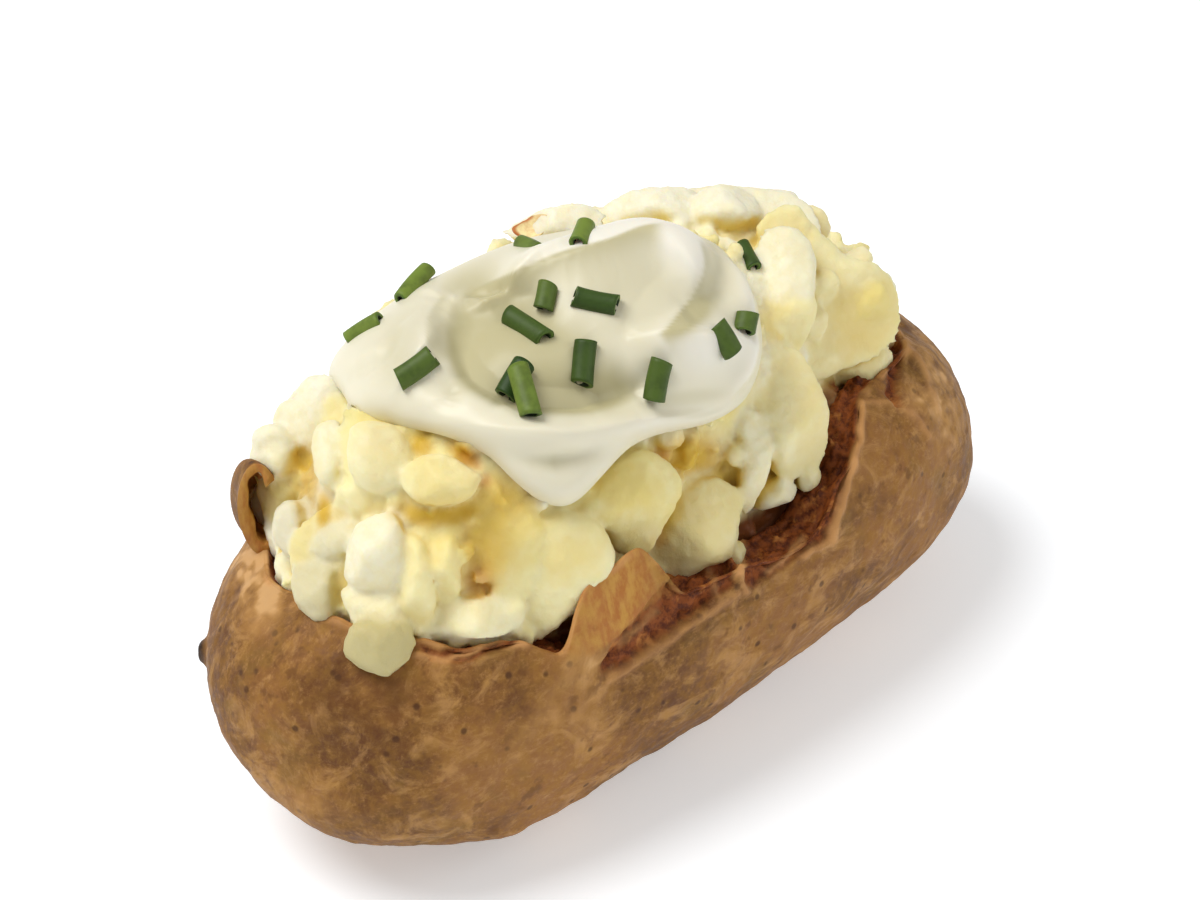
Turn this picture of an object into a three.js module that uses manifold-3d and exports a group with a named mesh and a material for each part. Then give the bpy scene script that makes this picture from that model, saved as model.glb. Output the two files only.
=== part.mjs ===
// A split baked potato: the jacket, the fluffed flesh heaped out of its split, and a
// spoonful of sour cream with chopped chives. Millimetres, +Z up, the long axis along X.

import * as THREE from "three";
import { mergeVertices } from "three/addons/utils/BufferGeometryUtils.js";
import Module from "manifold-3d";

const wasm = await Module();
wasm.setup();

// ---- driving dimensions

// The whole tuber, before it was split.
const potato = {
  length: 142,
  width: 74,
  height: 59,
  bluntness: 2.24, // 2 is an ellipsoid, more is squarer
  taper: -0.02, // how much thinner the +X end is
  bend: -4, // how far both ends lean to -Y
  sink: 2.6, // depth of the flat that it rests on
};

// Broad swellings and dents of the tuber: direction and reach in degrees, height as a share.
const swellings = [
  { around: 220, up: 62, reach: 29, height: 0.064 },
  { around: 236, up: 56, reach: 10, height: 0.047 },
  { around: 250, up: 57, reach: 11, height: -0.025 },
  { around: 287, up: 66, reach: 14, height: -0.035 },
  { around: 330, up: 70, reach: 23, height: 0.047 },
  { around: 200, up: 95, reach: 17, height: -0.038 },
  { around: 62, up: 72, reach: 22, height: 0.03 },
  { around: 108, up: 60, reach: 18, height: -0.03 },
];

// The lip of the torn skin: how far up from the underside it reaches, in degrees, and the
// width of the browned ledge between the skin and the heap.
const lipStations = [
  { around: 0, up: 121, ledge: 4 },
  { around: 20, up: 120, ledge: 4 },
  { around: 50, up: 117, ledge: 3.5 },
  { around: 85, up: 115, ledge: 3 },
  { around: 115, up: 115, ledge: 3 },
  { around: 135, up: 117, ledge: 2.5 },
  { around: 150, up: 124, ledge: 2.5 },
  { around: 180, up: 129, ledge: 3 },
  { around: 205, up: 126, ledge: 3 },
  { around: 230, up: 123, ledge: 4 },
  { around: 246, up: 111, ledge: 8 },
  { around: 256, up: 114, ledge: 9.5 },
  { around: 266, up: 116, ledge: 9 },
  { around: 282, up: 111, ledge: 9.5 },
  { around: 292, up: 121, ledge: 7 },
  { around: 312, up: 132, ledge: 5 },
  { around: 336, up: 127, ledge: 4 },
];

const ledge = {
  drop: 3.5, // from the lip down to the foot of the heap
  below: 12, // degrees from the lip down to where the wall thickens
  rough: 0.7, // height of its crags
};

// The strip of skin that stands up as a curl at the split's far left end.
const curl = { around: 146, spread: 12, rise: 13, out: 2 };

// A strip of skin, torn loose, that leans from the lip against the heap.
const strip = { around: 250, spread: 6.5, rise: 9.5, inward: 2 };

const wall = 3; // skin with the firm flesh that clings to it
const clearance = 0.8; // between pieces that nest
const gap = 0.35; // between pieces that touch

// The faces of the round forms: columns round the vertical, and rows along each stretch.
const columns = { tuber: 64, cream: 44 };
const rows = { outside: 12, ledge: 5, cavity: 6, heap: 10, cream: 18 };

const heap = {
  middle: new THREE.Vector2(2, 0),
  top: 75.5,
  fall: 4.5, // how much lower its top is towards +X
  square: 2.5, // 2 is round, more is boxier
};

// The big lumps of the heap: their place as degrees round the heap and share of the way up
// it, and their size in millimetres across, up the slope and outwards.
const lumps = [
  { around: 206, rise: 0.02, across: 10, up: 11, out: 19 },
  { around: 187, rise: 0.13, across: 9, up: 12, out: 13 },
  { around: 209, rise: 0.2, across: 16, up: 18, out: 14 },
  { around: 232, rise: 0.06, across: 20, up: 8, out: 11 },
  { around: 241, rise: 0.2, across: 18, up: 25, out: 14 },
  { around: 254, rise: 0.3, across: 17, up: 18, out: 13 },
  { around: 270, rise: 0.12, across: 21, up: 27, out: 18 },
  { around: 284, rise: 0.09, across: 9, up: 9, out: 13 },
  { around: 290, rise: 0.18, across: 13, up: 27, out: 15 },
  { around: 277, rise: 0.3, across: 11, up: 16, out: 14 },
  { around: 303, rise: 0.2, across: 14, up: 21, out: 13 },
  { around: 317, rise: 0.22, across: 14, up: 18, out: 12 },
  { around: 332, rise: 0.22, across: 13, up: 15, out: 9 },
  { around: 318, rise: 0.45, across: 14, up: 14, out: 10 },
  { around: 202, rise: 0.48, across: 21, up: 13, out: 12 },
  { around: 170, rise: 0.38, across: 8, up: 13, out: 10 },
  { around: 168, rise: 0.16, across: 9, up: 12, out: 12 },
  { around: 152, rise: 0.32, across: 11, up: 13, out: 15 },
  { around: 338, rise: 0.68, across: 14, up: 11, out: 9 },
  { around: 20, rise: 0.76, across: 14, up: 10, out: 9 },
];

const finerAbove = 20; // lumps higher than this have finer faces

// Smaller pieces in rings up the heap, rough and large at +X and finer at -X.
const crumbs = {
  rings: [0.12, 0.32, 0.52, 0.72],
  apart: 19,
  fine: 10, // diameter at the -X end
  coarse: 17, // and at the +X end
  depth: 0.65, // out of the heap, as a share of the diameter
  facets: 9,
};

// The sour cream, about its own middle, with its outline in plan.
const cream = {
  middle: new THREE.Vector2(-12, -5),
  thickness: 5.5,
  sunk: 1.5, // into the flesh, where the heap's core doesn't stop it
  underShare: 0.3, // of its rows that lie on its underside
  outline: [
    { turn: 0, reach: 29 },
    { turn: 30, reach: 21 },
    { turn: 60, reach: 16 },
    { turn: 90, reach: 16 },
    { turn: 120, reach: 20 },
    { turn: 150, reach: 29 },
    { turn: 166, reach: 33 },
    { turn: 184, reach: 28 },
    { turn: 203, reach: 24 },
    { turn: 223, reach: 24 },
    { turn: 241, reach: 17 },
    { turn: 266, reach: 14.5 },
    { turn: 295, reach: 16 },
    { turn: 318, reach: 23 },
    { turn: 335, reach: 31 },
    { turn: 348, reach: 31 },
  ],
};

// The folds that the spoon left, as ridges and hollows along straight strokes in plan.
const folds = [
  { from: [-22, 1], to: [-6, -2], width: 4, height: 2.6 },
  { from: [-6, -2], to: [9, -7], width: 4, height: 2.8 },
  { from: [12, -8], to: [15, -17], width: 3.5, height: 2 },
  { from: [-22, 5], to: [-36, -2], width: 4, height: 2 },
  { from: [-38, -8], to: [-20, -18], width: 3, height: 1.8 },
  { from: [-28, -7], to: [-15, -13], width: 5, height: -2.6 },
  { from: [0, -13], to: [10, -11], width: 3, height: -2 },
];

// The chives: place in plan, heading and length.
const chives = {
  diameter: 3.4,
  sides: 6,
  bedded: 0.3, // share of the diameter sunk in the cream
  pieces: [
    { at: [-34, -2], turn: 357, length: 6.5 },
    { at: [-33, 10], turn: 5, length: 8 },
    { at: [-23, 10.5], turn: 20, length: 8.5 },
    { at: [-26, -10], turn: 14, length: 7 },
    { at: [-25.5, -12], turn: 57, length: 8 },
    { at: [-20, -7], turn: 292, length: 6.5 },
    { at: [-15, -5.5], turn: 216, length: 6.5 },
    { at: [-16.5, -12.5], turn: 217, length: 7 },
    { at: [-10, -8], turn: 333, length: 7 },
    { at: [-9, 5], turn: 282, length: 7 },
    { at: [-5.5, -16], turn: 218, length: 6.5 },
    { at: [1.5, 4.5], turn: 150, length: 6 },
    { at: [6.5, -16], turn: 283, length: 5.5 },
    { at: [11, -15.5], turn: 209, length: 4.5 },
    { at: [15.5, -11], turn: 299, length: 5.5 },
  ],
};

// ---- shared maths

const rad = THREE.MathUtils.degToRad;
const circle = 2 * Math.PI;

// A smooth bump of height 1 at an angle, in radians.
function bump(angle, centre, spread) {
  const apart = Math.atan2(Math.sin(angle - centre), Math.cos(angle - centre));
  return Math.exp(-((apart / spread) ** 2));
}

// The value of a key, eased from station to station round a full turn, in radians.
function eased(stations, angleKey, valueKey, angle) {
  const degrees = THREE.MathUtils.radToDeg(THREE.MathUtils.euclideanModulo(angle, circle));
  const next = stations.findIndex((s) => s[angleKey] > degrees);
  const after = stations[Math.max(next, 0)];
  const before = stations.at(next > 0 ? next - 1 : -1);
  const span = THREE.MathUtils.euclideanModulo(after[angleKey] - before[angleKey], 360);
  const t = THREE.MathUtils.euclideanModulo(degrees - before[angleKey], 360) / span;
  return THREE.MathUtils.lerp(before[valueKey], after[valueKey], t * t * (3 - 2 * t));
}

// The same random numbers on each run.
function seeded(seed) {
  let state = seed;
  return () => {
    state = (Math.imul(state, 1664525) + 1013904223) >>> 0;
    return state / 2 ** 32;
  };
}

// ---- closed surfaces and solids

// A closed surface round the vertical: place(around, v) gives its points, v from pole to pole.
function wrapped(columns, rows, place) {
  const arc = Array.from({ length: rows + 1 }, (_, i) => {
    const angle = (Math.PI * i) / rows;
    return new THREE.Vector2(Math.sin(angle), -Math.cos(angle));
  });
  const surface = new THREE.LatheGeometry(arc, columns);
  const { position, uv } = surface.attributes;
  for (let i = 0; i < position.count; i++) {
    const turn = (uv.getX(i) % 1) * circle;
    position.setXYZ(i, ...place(turn, uv.getY(i)).toArray());
  }
  return surface;
}

function merged(geometry) {
  const bare = new THREE.BufferGeometry();
  bare.setAttribute("position", geometry.getAttribute("position"));
  bare.setIndex(geometry.index);
  return mergeVertices(bare, 1e-3);
}

function solidOf(geometry) {
  const whole = merged(geometry);
  const corners = whole.index.array;
  const kept = [];
  for (let i = 0; i < corners.length; i += 3) {
    const [a, b, c] = corners.slice(i, i + 3);
    if (a !== b && b !== c && c !== a) kept.push(a, b, c);
  }
  return new wasm.Manifold(
    new wasm.Mesh({
      numProp: 3,
      vertProperties: whole.attributes.position.array,
      triVerts: new Uint32Array(kept),
    }),
  );
}

function geometryOf(solid) {
  const { vertProperties, triVerts } = solid.getMesh();
  const geometry = new THREE.BufferGeometry();
  geometry.setAttribute("position", new THREE.BufferAttribute(vertProperties, 3));
  geometry.setIndex(new THREE.BufferAttribute(triVerts, 1));
  geometry.computeVertexNormals();
  return geometry;
}

// The largest of the bodies that a cut leaves.
function mainBody(solid) {
  return solid.decompose().reduce((best, s) => (s.volume() > best.volume() ? s : best));
}

// ---- the tuber's own form

function heading(around, up) {
  return new THREE.Vector3(
    Math.cos(around) * Math.sin(up),
    Math.sin(around) * Math.sin(up),
    -Math.cos(up),
  );
}

// A point of the tuber's surface, or of one that lies inset below it.
function tuber(around, up, inset = 0) {
  const way = heading(around, up);
  const { bluntness: e, length, width, height } = potato;
  let reach = (Math.abs(way.x) ** e + Math.abs(way.y) ** e + Math.abs(way.z) ** e) ** (-1 / e);
  for (const s of swellings) {
    const apart = way.angleTo(heading(rad(s.around), rad(s.up)));
    reach *= 1 + s.height * Math.exp(-((apart / rad(s.reach)) ** 2));
  }
  const half = new THREE.Vector3(length, width, height).multiplyScalar(0.5).subScalar(inset);
  const point = way.multiply(half).multiplyScalar(reach);
  const along = point.x / (length / 2);
  const girth = 1 - potato.taper * along;
  point.y = point.y * girth + potato.bend * (along ** 2 - 0.35);
  point.z = Math.max(point.z * girth + height / 2 - potato.sink, inset);
  return point;
}

// ---- the jacket

function lipAngle(around) {
  const torn = Math.sin(7 * around + 2.1) + 0.7 * Math.sin(17 * around);
  return rad(eased(lipStations, "around", "up", around) + 0.7 * torn);
}

// The foot of the heap: in from the lip by the ledge's width, and down.
function heapFoot(around, clear) {
  const { length, width } = potato;
  const inward = new THREE.Vector3(-Math.cos(around) / length, -Math.sin(around) / width, 0);
  inward.setLength(eased(lipStations, "around", "ledge", around) + clear);
  return tuber(around, lipAngle(around)).add(inward).setZ(tuber(around, lipAngle(around)).z - ledge.drop);
}

// The inside of the jacket, from the bottom, t = 0, up to the foot of the heap, t = 1.
function cavity(around, t, clear) {
  const up = lipAngle(around) - rad(ledge.below);
  const moved = heapFoot(around, clear).sub(tuber(around, up, wall + clear));
  return tuber(around, up * t ** 0.85, wall + clear).addScaledVector(moved, t ** 4);
}

// The lip's own top edge, with the curl and the loose strip standing on it.
function lipPoint(around, grown) {
  const edge = tuber(around, lipAngle(around), -grown);
  const standing = bump(around, rad(curl.around), rad(curl.spread));
  const leaning = bump(around, rad(strip.around), rad(strip.spread));
  const outward = new THREE.Vector3(Math.cos(around), Math.sin(around), 0);
  edge.z += curl.rise * standing + strip.rise * leaning + grown;
  return edge.addScaledVector(outward, curl.out * standing - strip.inward * leaning);
}

function jacketPoint(around, v, grown) {
  const total = rows.outside + rows.ledge + rows.cavity;
  const outer = rows.outside / total;
  const inner = outer + rows.ledge / total;
  if (v < outer) {
    const point = tuber(around, lipAngle(around) * (v / outer) ** 0.85, -grown);
    const lifted = lipPoint(around, grown).sub(tuber(around, lipAngle(around), -grown));
    return point.addScaledVector(lifted, (v / outer) ** 12);
  }
  const edge = lipPoint(around, grown);
  const foot = cavity(around, 1, grown);
  if (v <= inner) {
    const t = (v - outer) / (inner - outer);
    const crags = ledge.rough * Math.sin(19 * around + 5 * t) * Math.sin(Math.PI * t);
    const fall = THREE.MathUtils.smoothstep(t, 0, 0.6);
    return new THREE.Vector3(
      THREE.MathUtils.lerp(edge.x, foot.x, t),
      THREE.MathUtils.lerp(edge.y, foot.y, t),
      THREE.MathUtils.lerp(edge.z, foot.z + grown, fall) + crags,
    );
  }
  return cavity(around, (1 - v) / (1 - inner), grown);
}

function jacket(grown) {
  const total = rows.outside + rows.ledge + rows.cavity;
  return solidOf(wrapped(columns.tuber, total, (around, v) => jacketPoint(around, v, grown)));
}

// ---- the heap of flesh

// The heap's foot, seen in plan from the heap's middle.
const footRing = Array.from({ length: 180 }, (_, i) => {
  const foot = cavity((circle * i) / 180, 1, clearance);
  const away = new THREE.Vector2(foot.x, foot.y).sub(heap.middle);
  return { turn: THREE.MathUtils.radToDeg(away.angle()), reach: away.length(), z: foot.z };
}).sort((a, b) => a.turn - b.turn);

function heapHeight(x, share, footZ) {
  const top = heap.top - heap.fall * THREE.MathUtils.smoothstep(x, 5, 50);
  const raised = (1 - Math.min(share, 1) ** heap.square) ** (1 / heap.square);
  return THREE.MathUtils.lerp(footZ, top, raised);
}

// A point of the bare heap: its foot at rise 0 and its top at rise 1.
function heapPoint(around, rise) {
  const foot = cavity(around, 1, clearance);
  const share = Math.cos((rise * Math.PI) / 2) ** (2 / heap.square);
  const x = THREE.MathUtils.lerp(heap.middle.x, foot.x, share);
  const y = THREE.MathUtils.lerp(heap.middle.y, foot.y, share);
  return new THREE.Vector3(x, y, heapHeight(x, share, foot.z));
}

// The bare heap's point over a place in plan, raised along its normal.
function overHeap(x, y, lift) {
  const height = (u, v) => {
    const away = new THREE.Vector2(u, v).sub(heap.middle);
    const reach = eased(footRing, "turn", "reach", away.angle());
    return heapHeight(u, away.length() / reach, eased(footRing, "turn", "z", away.angle()));
  };
  const step = 1;
  const slopeX = (height(x + step, y) - height(x - step, y)) / (2 * step);
  const slopeY = (height(x, y + step) - height(x, y - step)) / (2 * step);
  const normal = new THREE.Vector3(-slopeX, -slopeY, 1).normalize();
  return new THREE.Vector3(x, y, height(x, y)).addScaledVector(normal, lift);
}

function corePoint(around, v, grown) {
  const foot = rows.cavity / (rows.cavity + rows.heap);
  if (v < foot) return cavity(around, v / foot, clearance - grown);
  const rise = (v - foot) / (1 - foot);
  const point = heapPoint(around, rise);
  const middle = new THREE.Vector3(heap.middle.x, heap.middle.y, point.z);
  const outward = point.clone().sub(middle).setLength(grown * (1 - rise));
  point.z += grown * rise;
  return point.add(outward);
}

function core(grown) {
  const total = rows.cavity + rows.heap;
  return solidOf(wrapped(columns.tuber, total, (around, v) => corePoint(around, v, grown)));
}

// A broken lump of flesh about the origin, 2 across: flat facets with rounded edges.
function lump(detail, random) {
  const facets = Array.from({ length: crumbs.facets }, () => {
    const way = new THREE.Vector3(random() - 0.5, random() - 0.5, random() - 0.5).normalize();
    return { way, away: 0.7 + 0.25 * random() };
  });
  const ball = merged(new THREE.IcosahedronGeometry(1, detail));
  const { position } = ball.attributes;
  const point = new THREE.Vector3();
  const edge = 7; // sharpness of the edges between facets
  for (let i = 0; i < position.count; i++) {
    point.fromBufferAttribute(position, i).normalize();
    const cut = facets.reduce((sum, f) => sum + Math.max(point.dot(f.way) / f.away, 0) ** edge, 1);
    position.setXYZ(i, ...point.multiplyScalar(cut ** (-1 / edge)).toArray());
  }
  return ball;
}

// A lump set on the heap, with its size across, up the slope and outwards.
function setLump({ around, rise, across, up, out }, detail, random) {
  const step = 0.02;
  const place = heapPoint(around, rise);
  const side = heapPoint(around + step, rise).sub(heapPoint(around - step, rise)).normalize();
  const slope = heapPoint(around, rise + step).sub(heapPoint(around, Math.max(rise - step, 0)));
  const normal = side.clone().cross(slope).normalize();
  const uphill = normal.clone().cross(side);
  const scaled = new THREE.Matrix4().makeScale(across / 2, up / 2, out / 2);
  const turned = new THREE.Matrix4().makeBasis(side, uphill, normal).setPosition(place);
  return solidOf(lump(detail, random).applyMatrix4(turned.multiply(scaled)));
}

// ---- the sour cream

function creamReach(turn) {
  return eased(cream.outline, "turn", "reach", turn);
}

// How far the folds raise the cream over a place in plan.
function foldHeight(x, y) {
  const here = new THREE.Vector2(x, y);
  return folds.reduce((sum, { from, to, width, height }) => {
    const start = new THREE.Vector2(...from);
    const stroke = new THREE.Vector2(...to).sub(start);
    const along = THREE.MathUtils.clamp(here.clone().sub(start).dot(stroke) / stroke.lengthSq(), 0, 1);
    const off = here.distanceTo(start.addScaledVector(stroke, along));
    return sum + height * Math.exp(-((off / width) ** 2));
  }, 0);
}

// A point of the cream: v = 0 under its middle, underShare at its edge and 1 over its middle.
function creamPoint(turn, v, grown) {
  const under = cream.underShare;
  const phase = v < under ? v / under : (1 - v) / (1 - under);
  const share = phase ** 0.8;
  const reach = (creamReach(turn) + grown) * share;
  const x = cream.middle.x + reach * Math.cos(turn);
  const y = cream.middle.y + reach * Math.sin(turn);
  const swell = (1 - share ** 5) ** 0.5;
  const top = (cream.thickness + foldHeight(x, y)) * swell + grown;
  return overHeap(x, y, v < under ? -cream.sunk : top);
}

function creamBlob(grown) {
  return solidOf(wrapped(columns.cream, rows.cream, (turn, v) => creamPoint(turn, v, grown)));
}

// A piece of chive, lying on the cream and following its slope.
function chiveSolid({ at, turn, length }, grown) {
  const radius = chives.diameter / 2 + grown;
  const tube = new THREE.CylinderGeometry(radius, radius, length + 2 * grown, chives.sides);
  const lift = creamThickness(...at) + chives.diameter * (0.5 - chives.bedded);
  const place = overHeap(...at, lift);
  const ahead = overHeap(at[0] + Math.cos(rad(turn)), at[1] + Math.sin(rad(turn)), lift);
  const along = ahead.sub(place).normalize();
  const turned = new THREE.Quaternion().setFromUnitVectors(new THREE.Vector3(0, 1, 0), along);
  return solidOf(tube.applyQuaternion(turned).translate(...place.toArray()));
}

function creamThickness(x, y) {
  const away = new THREE.Vector2(x, y).sub(cream.middle);
  const share = Math.min(away.length() / creamReach(away.angle()), 1);
  return (cream.thickness + foldHeight(x, y)) * (1 - share ** 5) ** 0.5;
}

function withChives(solid, grown) {
  return chives.pieces.reduce((whole, piece) => whole.add(chiveSolid(piece, grown)), solid);
}

// ---- the flesh, whole

function underCream(place) {
  const away = new THREE.Vector2(place.x, place.y).sub(cream.middle);
  return away.length() < creamReach(away.angle());
}

function fleshSolid() {
  const random = seeded(11);
  const places = lumps.map((l) => ({ ...l, around: rad(l.around) }));
  const set = places.map((place) => setLump(place, place.up > finerAbove ? 2 : 1, random));
  const centres = places.map((l) => heapPoint(l.around, l.rise));
  for (const ring of crumbs.rings) {
    const girth = Array.from({ length: 36 }, (_, i) => heapPoint((circle * i) / 36, ring));
    const length = girth.reduce((sum, p, i) => sum + p.distanceTo(girth.at(i - 1)), 0);
    const count = Math.round(length / crumbs.apart);
    for (let i = 0; i < count; i++) {
      const around = (circle * (i + 0.6 * random())) / count;
      const rise = ring + 0.08 * (random() - 0.5);
      const centre = heapPoint(around, rise);
      const coarse = THREE.MathUtils.smoothstep(centre.x, -50, 40);
      const size = THREE.MathUtils.lerp(crumbs.fine, crumbs.coarse, coarse) * (0.8 + 0.4 * random());
      const shape = { across: size, up: size * (0.9 + 0.4 * random()), out: size * crumbs.depth };
      const crowded = centres.some((c) => c.distanceTo(centre) < crumbs.fine);
      if (crowded || underCream(centre)) continue;
      set.push(setLump({ around, rise, ...shape }, 1, random));
    }
  }
  const heaped = set.reduce((whole, piece) => whole.add(piece));
  const topping = withChives(creamBlob(gap), gap);
  return mainBody(heaped.subtract(jacket(clearance)).subtract(topping).add(core(0)));
}

// ---- the object

const skinMaterial = new THREE.MeshStandardMaterial({ color: 0x9a6a3c, roughness: 0.75, metalness: 0 });
const fleshMaterial = new THREE.MeshStandardMaterial({ color: 0xf0e6a8, roughness: 0.6, metalness: 0 });
const creamMaterial = new THREE.MeshStandardMaterial({ color: 0xf3f0e2, roughness: 0.35, metalness: 0 });

const bakedPotato = new THREE.Group();

function addPiece(name, solid, material) {
  const mesh = new THREE.Mesh(geometryOf(solid), material);
  mesh.name = name;
  bakedPotato.add(mesh);
}

addPiece("jacket", jacket(0), skinMaterial);
addPiece("flesh", fleshSolid(), fleshMaterial);
addPiece("sour_cream", mainBody(withChives(creamBlob(0), 0).subtract(core(gap))), creamMaterial);

// The origin is under the middle of the whole, on the surface that it rests on.
const box = new THREE.Box3().setFromObject(bakedPotato);
const middle = box.getCenter(new THREE.Vector3());
bakedPotato.position.set(-middle.x, -middle.y, -box.min.z);

export default bakedPotato;
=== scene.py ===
# Split baked potato with sour cream and chives: the looks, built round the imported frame.
# Forms are worked out in millimetres about the tuber's middle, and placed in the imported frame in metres.
import itertools
import math
import random

import bmesh
import bpy
import numpy as np
from mathutils import Matrix, Vector
from mathutils.bvhtree import BVHTree


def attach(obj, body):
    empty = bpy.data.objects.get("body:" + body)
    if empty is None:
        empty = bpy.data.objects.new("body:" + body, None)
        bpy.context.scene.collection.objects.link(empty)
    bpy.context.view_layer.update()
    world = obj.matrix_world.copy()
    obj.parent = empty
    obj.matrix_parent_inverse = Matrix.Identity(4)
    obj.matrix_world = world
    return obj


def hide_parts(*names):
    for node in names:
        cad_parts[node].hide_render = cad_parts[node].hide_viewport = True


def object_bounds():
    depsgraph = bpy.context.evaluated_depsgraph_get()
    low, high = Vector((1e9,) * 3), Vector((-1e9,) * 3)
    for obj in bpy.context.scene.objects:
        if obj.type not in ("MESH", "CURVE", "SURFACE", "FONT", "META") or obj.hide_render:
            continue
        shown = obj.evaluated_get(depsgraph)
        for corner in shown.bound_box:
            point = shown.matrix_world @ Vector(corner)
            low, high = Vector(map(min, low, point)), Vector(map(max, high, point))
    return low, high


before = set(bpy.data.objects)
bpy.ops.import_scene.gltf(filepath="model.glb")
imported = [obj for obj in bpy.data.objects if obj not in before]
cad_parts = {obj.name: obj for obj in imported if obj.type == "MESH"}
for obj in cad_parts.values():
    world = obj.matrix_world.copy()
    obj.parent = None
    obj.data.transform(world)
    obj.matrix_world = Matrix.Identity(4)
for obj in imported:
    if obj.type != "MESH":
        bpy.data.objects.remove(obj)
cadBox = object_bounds()
mm = 0.001
turn = 2 * math.pi


def smooth(value, low, high):
    t = np.clip((value - low) / (high - low), 0, 1)
    return t * t * (3 - 2 * t)


def bump(angle, centre, spread):
    apart = np.arctan2(np.sin(angle - centre), np.cos(angle - centre))
    return np.exp(-((apart / spread) ** 2))


def unit(vectors):
    return vectors / np.maximum(np.linalg.norm(vectors, axis=-1, keepdims=True), 1e-9)


def eased(stations, angle):  # stations are (degrees, value), eased from one to the next round a full turn
    places, values = np.array(stations, float).T
    places = np.concatenate([[places[-1] - 360], places, [places[0] + 360]])
    values = np.concatenate([[values[-1]], values, [values[0]]])
    degrees = np.degrees(angle) % 360
    i = np.clip(np.searchsorted(places, degrees, side="right") - 1, 0, len(places) - 2)
    t = (degrees - places[i]) / (places[i + 1] - places[i])
    t = t * t * (3 - 2 * t)
    return values[i] * (1 - t) + values[i + 1] * t


def hashed(cells, seed):  # a random number from 0 to 1 for each whole-numbered cell
    x, y, z = (cells[..., k].astype(np.int64) for k in range(3))
    n = (x * 73856093) ^ (y * 19349663) ^ (z * 83492791) ^ (seed * 2654435761)
    n = (n ^ (n >> 13)) * 1274126177 & 0x7FFFFFFF
    n = ((n ^ (n >> 15)) * 2246822519) & 0x7FFFFFFF
    return n / 0x7FFFFFFF


def cloud(points, size, seed=0):  # gradient noise, about -1 to 1, with features of that size
    places = np.asarray(points) / size + seed * 7.31
    cell = np.floor(places)
    inside = places - cell
    ease = inside * inside * (3 - 2 * inside)
    total = 0
    for corner in itertools.product((0, 1), repeat=3):
        corner = np.array(corner)
        angle = hashed(cell + corner, seed) * turn
        level = hashed(cell + corner, seed + 91) * 2 - 1
        flat = np.sqrt(1 - level**2)
        away = inside - corner
        slope = away[..., 0] * np.cos(angle) * flat + away[..., 1] * np.sin(angle) * flat
        slope = slope + away[..., 2] * level
        total = total + slope * np.prod(np.where(corner, ease, 1 - ease), axis=-1)
    return total * 1.6


def clouds(points, size, seed=0, octaves=3, fade=0.5):
    return sum(cloud(points, size / 2**k, seed + k) * fade**k for k in range(octaves))


def ridges(points, size, seed=0):  # sharp crests, 0 to 1
    return 1 - np.minimum(np.abs(cloud(points, size, seed)) * 2.2, 1)


def meshOf(name, points, faces, attributes=None):
    mesh = bpy.data.meshes.new(name)
    mesh.from_pydata(toFrame(points).tolist(), [], faces)
    for key, values in (attributes or {}).items():
        mesh.attributes.new(key, "FLOAT", "POINT").data.foreach_set("value", np.asarray(values, np.float32))
    mesh.polygons.foreach_set("use_smooth", [True] * len(mesh.polygons))
    piece = bpy.data.objects.new(name, mesh)
    bpy.context.scene.collection.objects.link(piece)
    return piece


def loopFaces(rows, columns, closed=False):  # quads between loops of points; closed: the last joins the first
    faces = []
    for i in range(rows if closed else rows - 1):
        here, there = i * columns, (i + 1) % rows * columns
        for j in range(columns):
            k = (j + 1) % columns
            faces.append((here + j, here + k, there + k, there + j))
    return faces


def wrapFaces(rows, columns):  # a closed surface of loops, with the last two points as its poles
    count, last = rows * columns, (rows - 1) * columns
    faces = loopFaces(rows, columns)
    faces += [(count, (j + 1) % columns, j) for j in range(columns)]
    faces += [(count + 1, last + j, last + (j + 1) % columns) for j in range(columns)]
    return faces


def evaluated(piece):  # the piece's mesh with its modifiers applied
    graph = bpy.context.evaluated_depsgraph_get()
    mesh = bpy.data.meshes.new_from_object(piece.evaluated_get(graph))
    piece.modifiers.clear()
    piece.data = mesh
    return mesh


def coordinates(mesh):
    flat = np.empty(len(mesh.vertices) * 3, np.float32)
    mesh.vertices.foreach_get("co", flat)
    return flat.reshape(-1, 3).astype(float)


def normalsOf(mesh):
    flat = np.empty(len(mesh.vertices) * 3, np.float32)
    mesh.vertex_normals.foreach_get("vector", flat)
    return flat.reshape(-1, 3).astype(float)


# The tuber's own form, in millimetres. bluntness: 2 is an ellipsoid, more is boxier; sink: how far its
# underside is cut away where it stands.
potato = dict(length=142, width=74, height=59, bluntness=2.24, taper=-0.02, bend=-4, sink=2.6)
swellings = [  # around and up in degrees, reach in degrees, height as a share of the radius
    (220, 62, 29, 0.064), (236, 56, 10, 0.047), (250, 57, 11, -0.025), (287, 66, 14, -0.035),
    (330, 70, 23, 0.047), (200, 95, 17, -0.038), (62, 72, 22, 0.03), (108, 60, 18, -0.03),
]
# The torn lip. up: its place in degrees from the underside, and ledge: mm of torn wall inside it, both by
# degrees around; drop: mm from the lip to the heap's foot; below: degrees from the lip to the hollow's edge;
# wall: mm from the outside to the hollow; clearance: mm between the hollow and the flesh.
lip = dict(
    up=[(0, 121), (20, 120), (50, 117), (85, 115), (115, 115), (135, 117), (150, 124), (180, 129), (205, 126),
        (230, 123), (246, 111), (256, 114), (266, 116), (282, 111), (292, 121), (312, 132), (336, 127)],
    ledge=[(0, 4), (20, 4), (50, 3.5), (85, 3), (115, 3), (135, 2.5), (150, 2.5), (180, 3), (205, 3),
           (230, 4), (246, 8), (256, 9.5), (266, 9), (282, 9.5), (292, 7), (312, 5), (336, 4)],
    drop=3.5, below=12, wall=3, clearance=0.8,
)


def heading(around, up):
    return np.stack([np.cos(around) * np.sin(up), np.sin(around) * np.sin(up), -np.cos(up)], -1)


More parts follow.
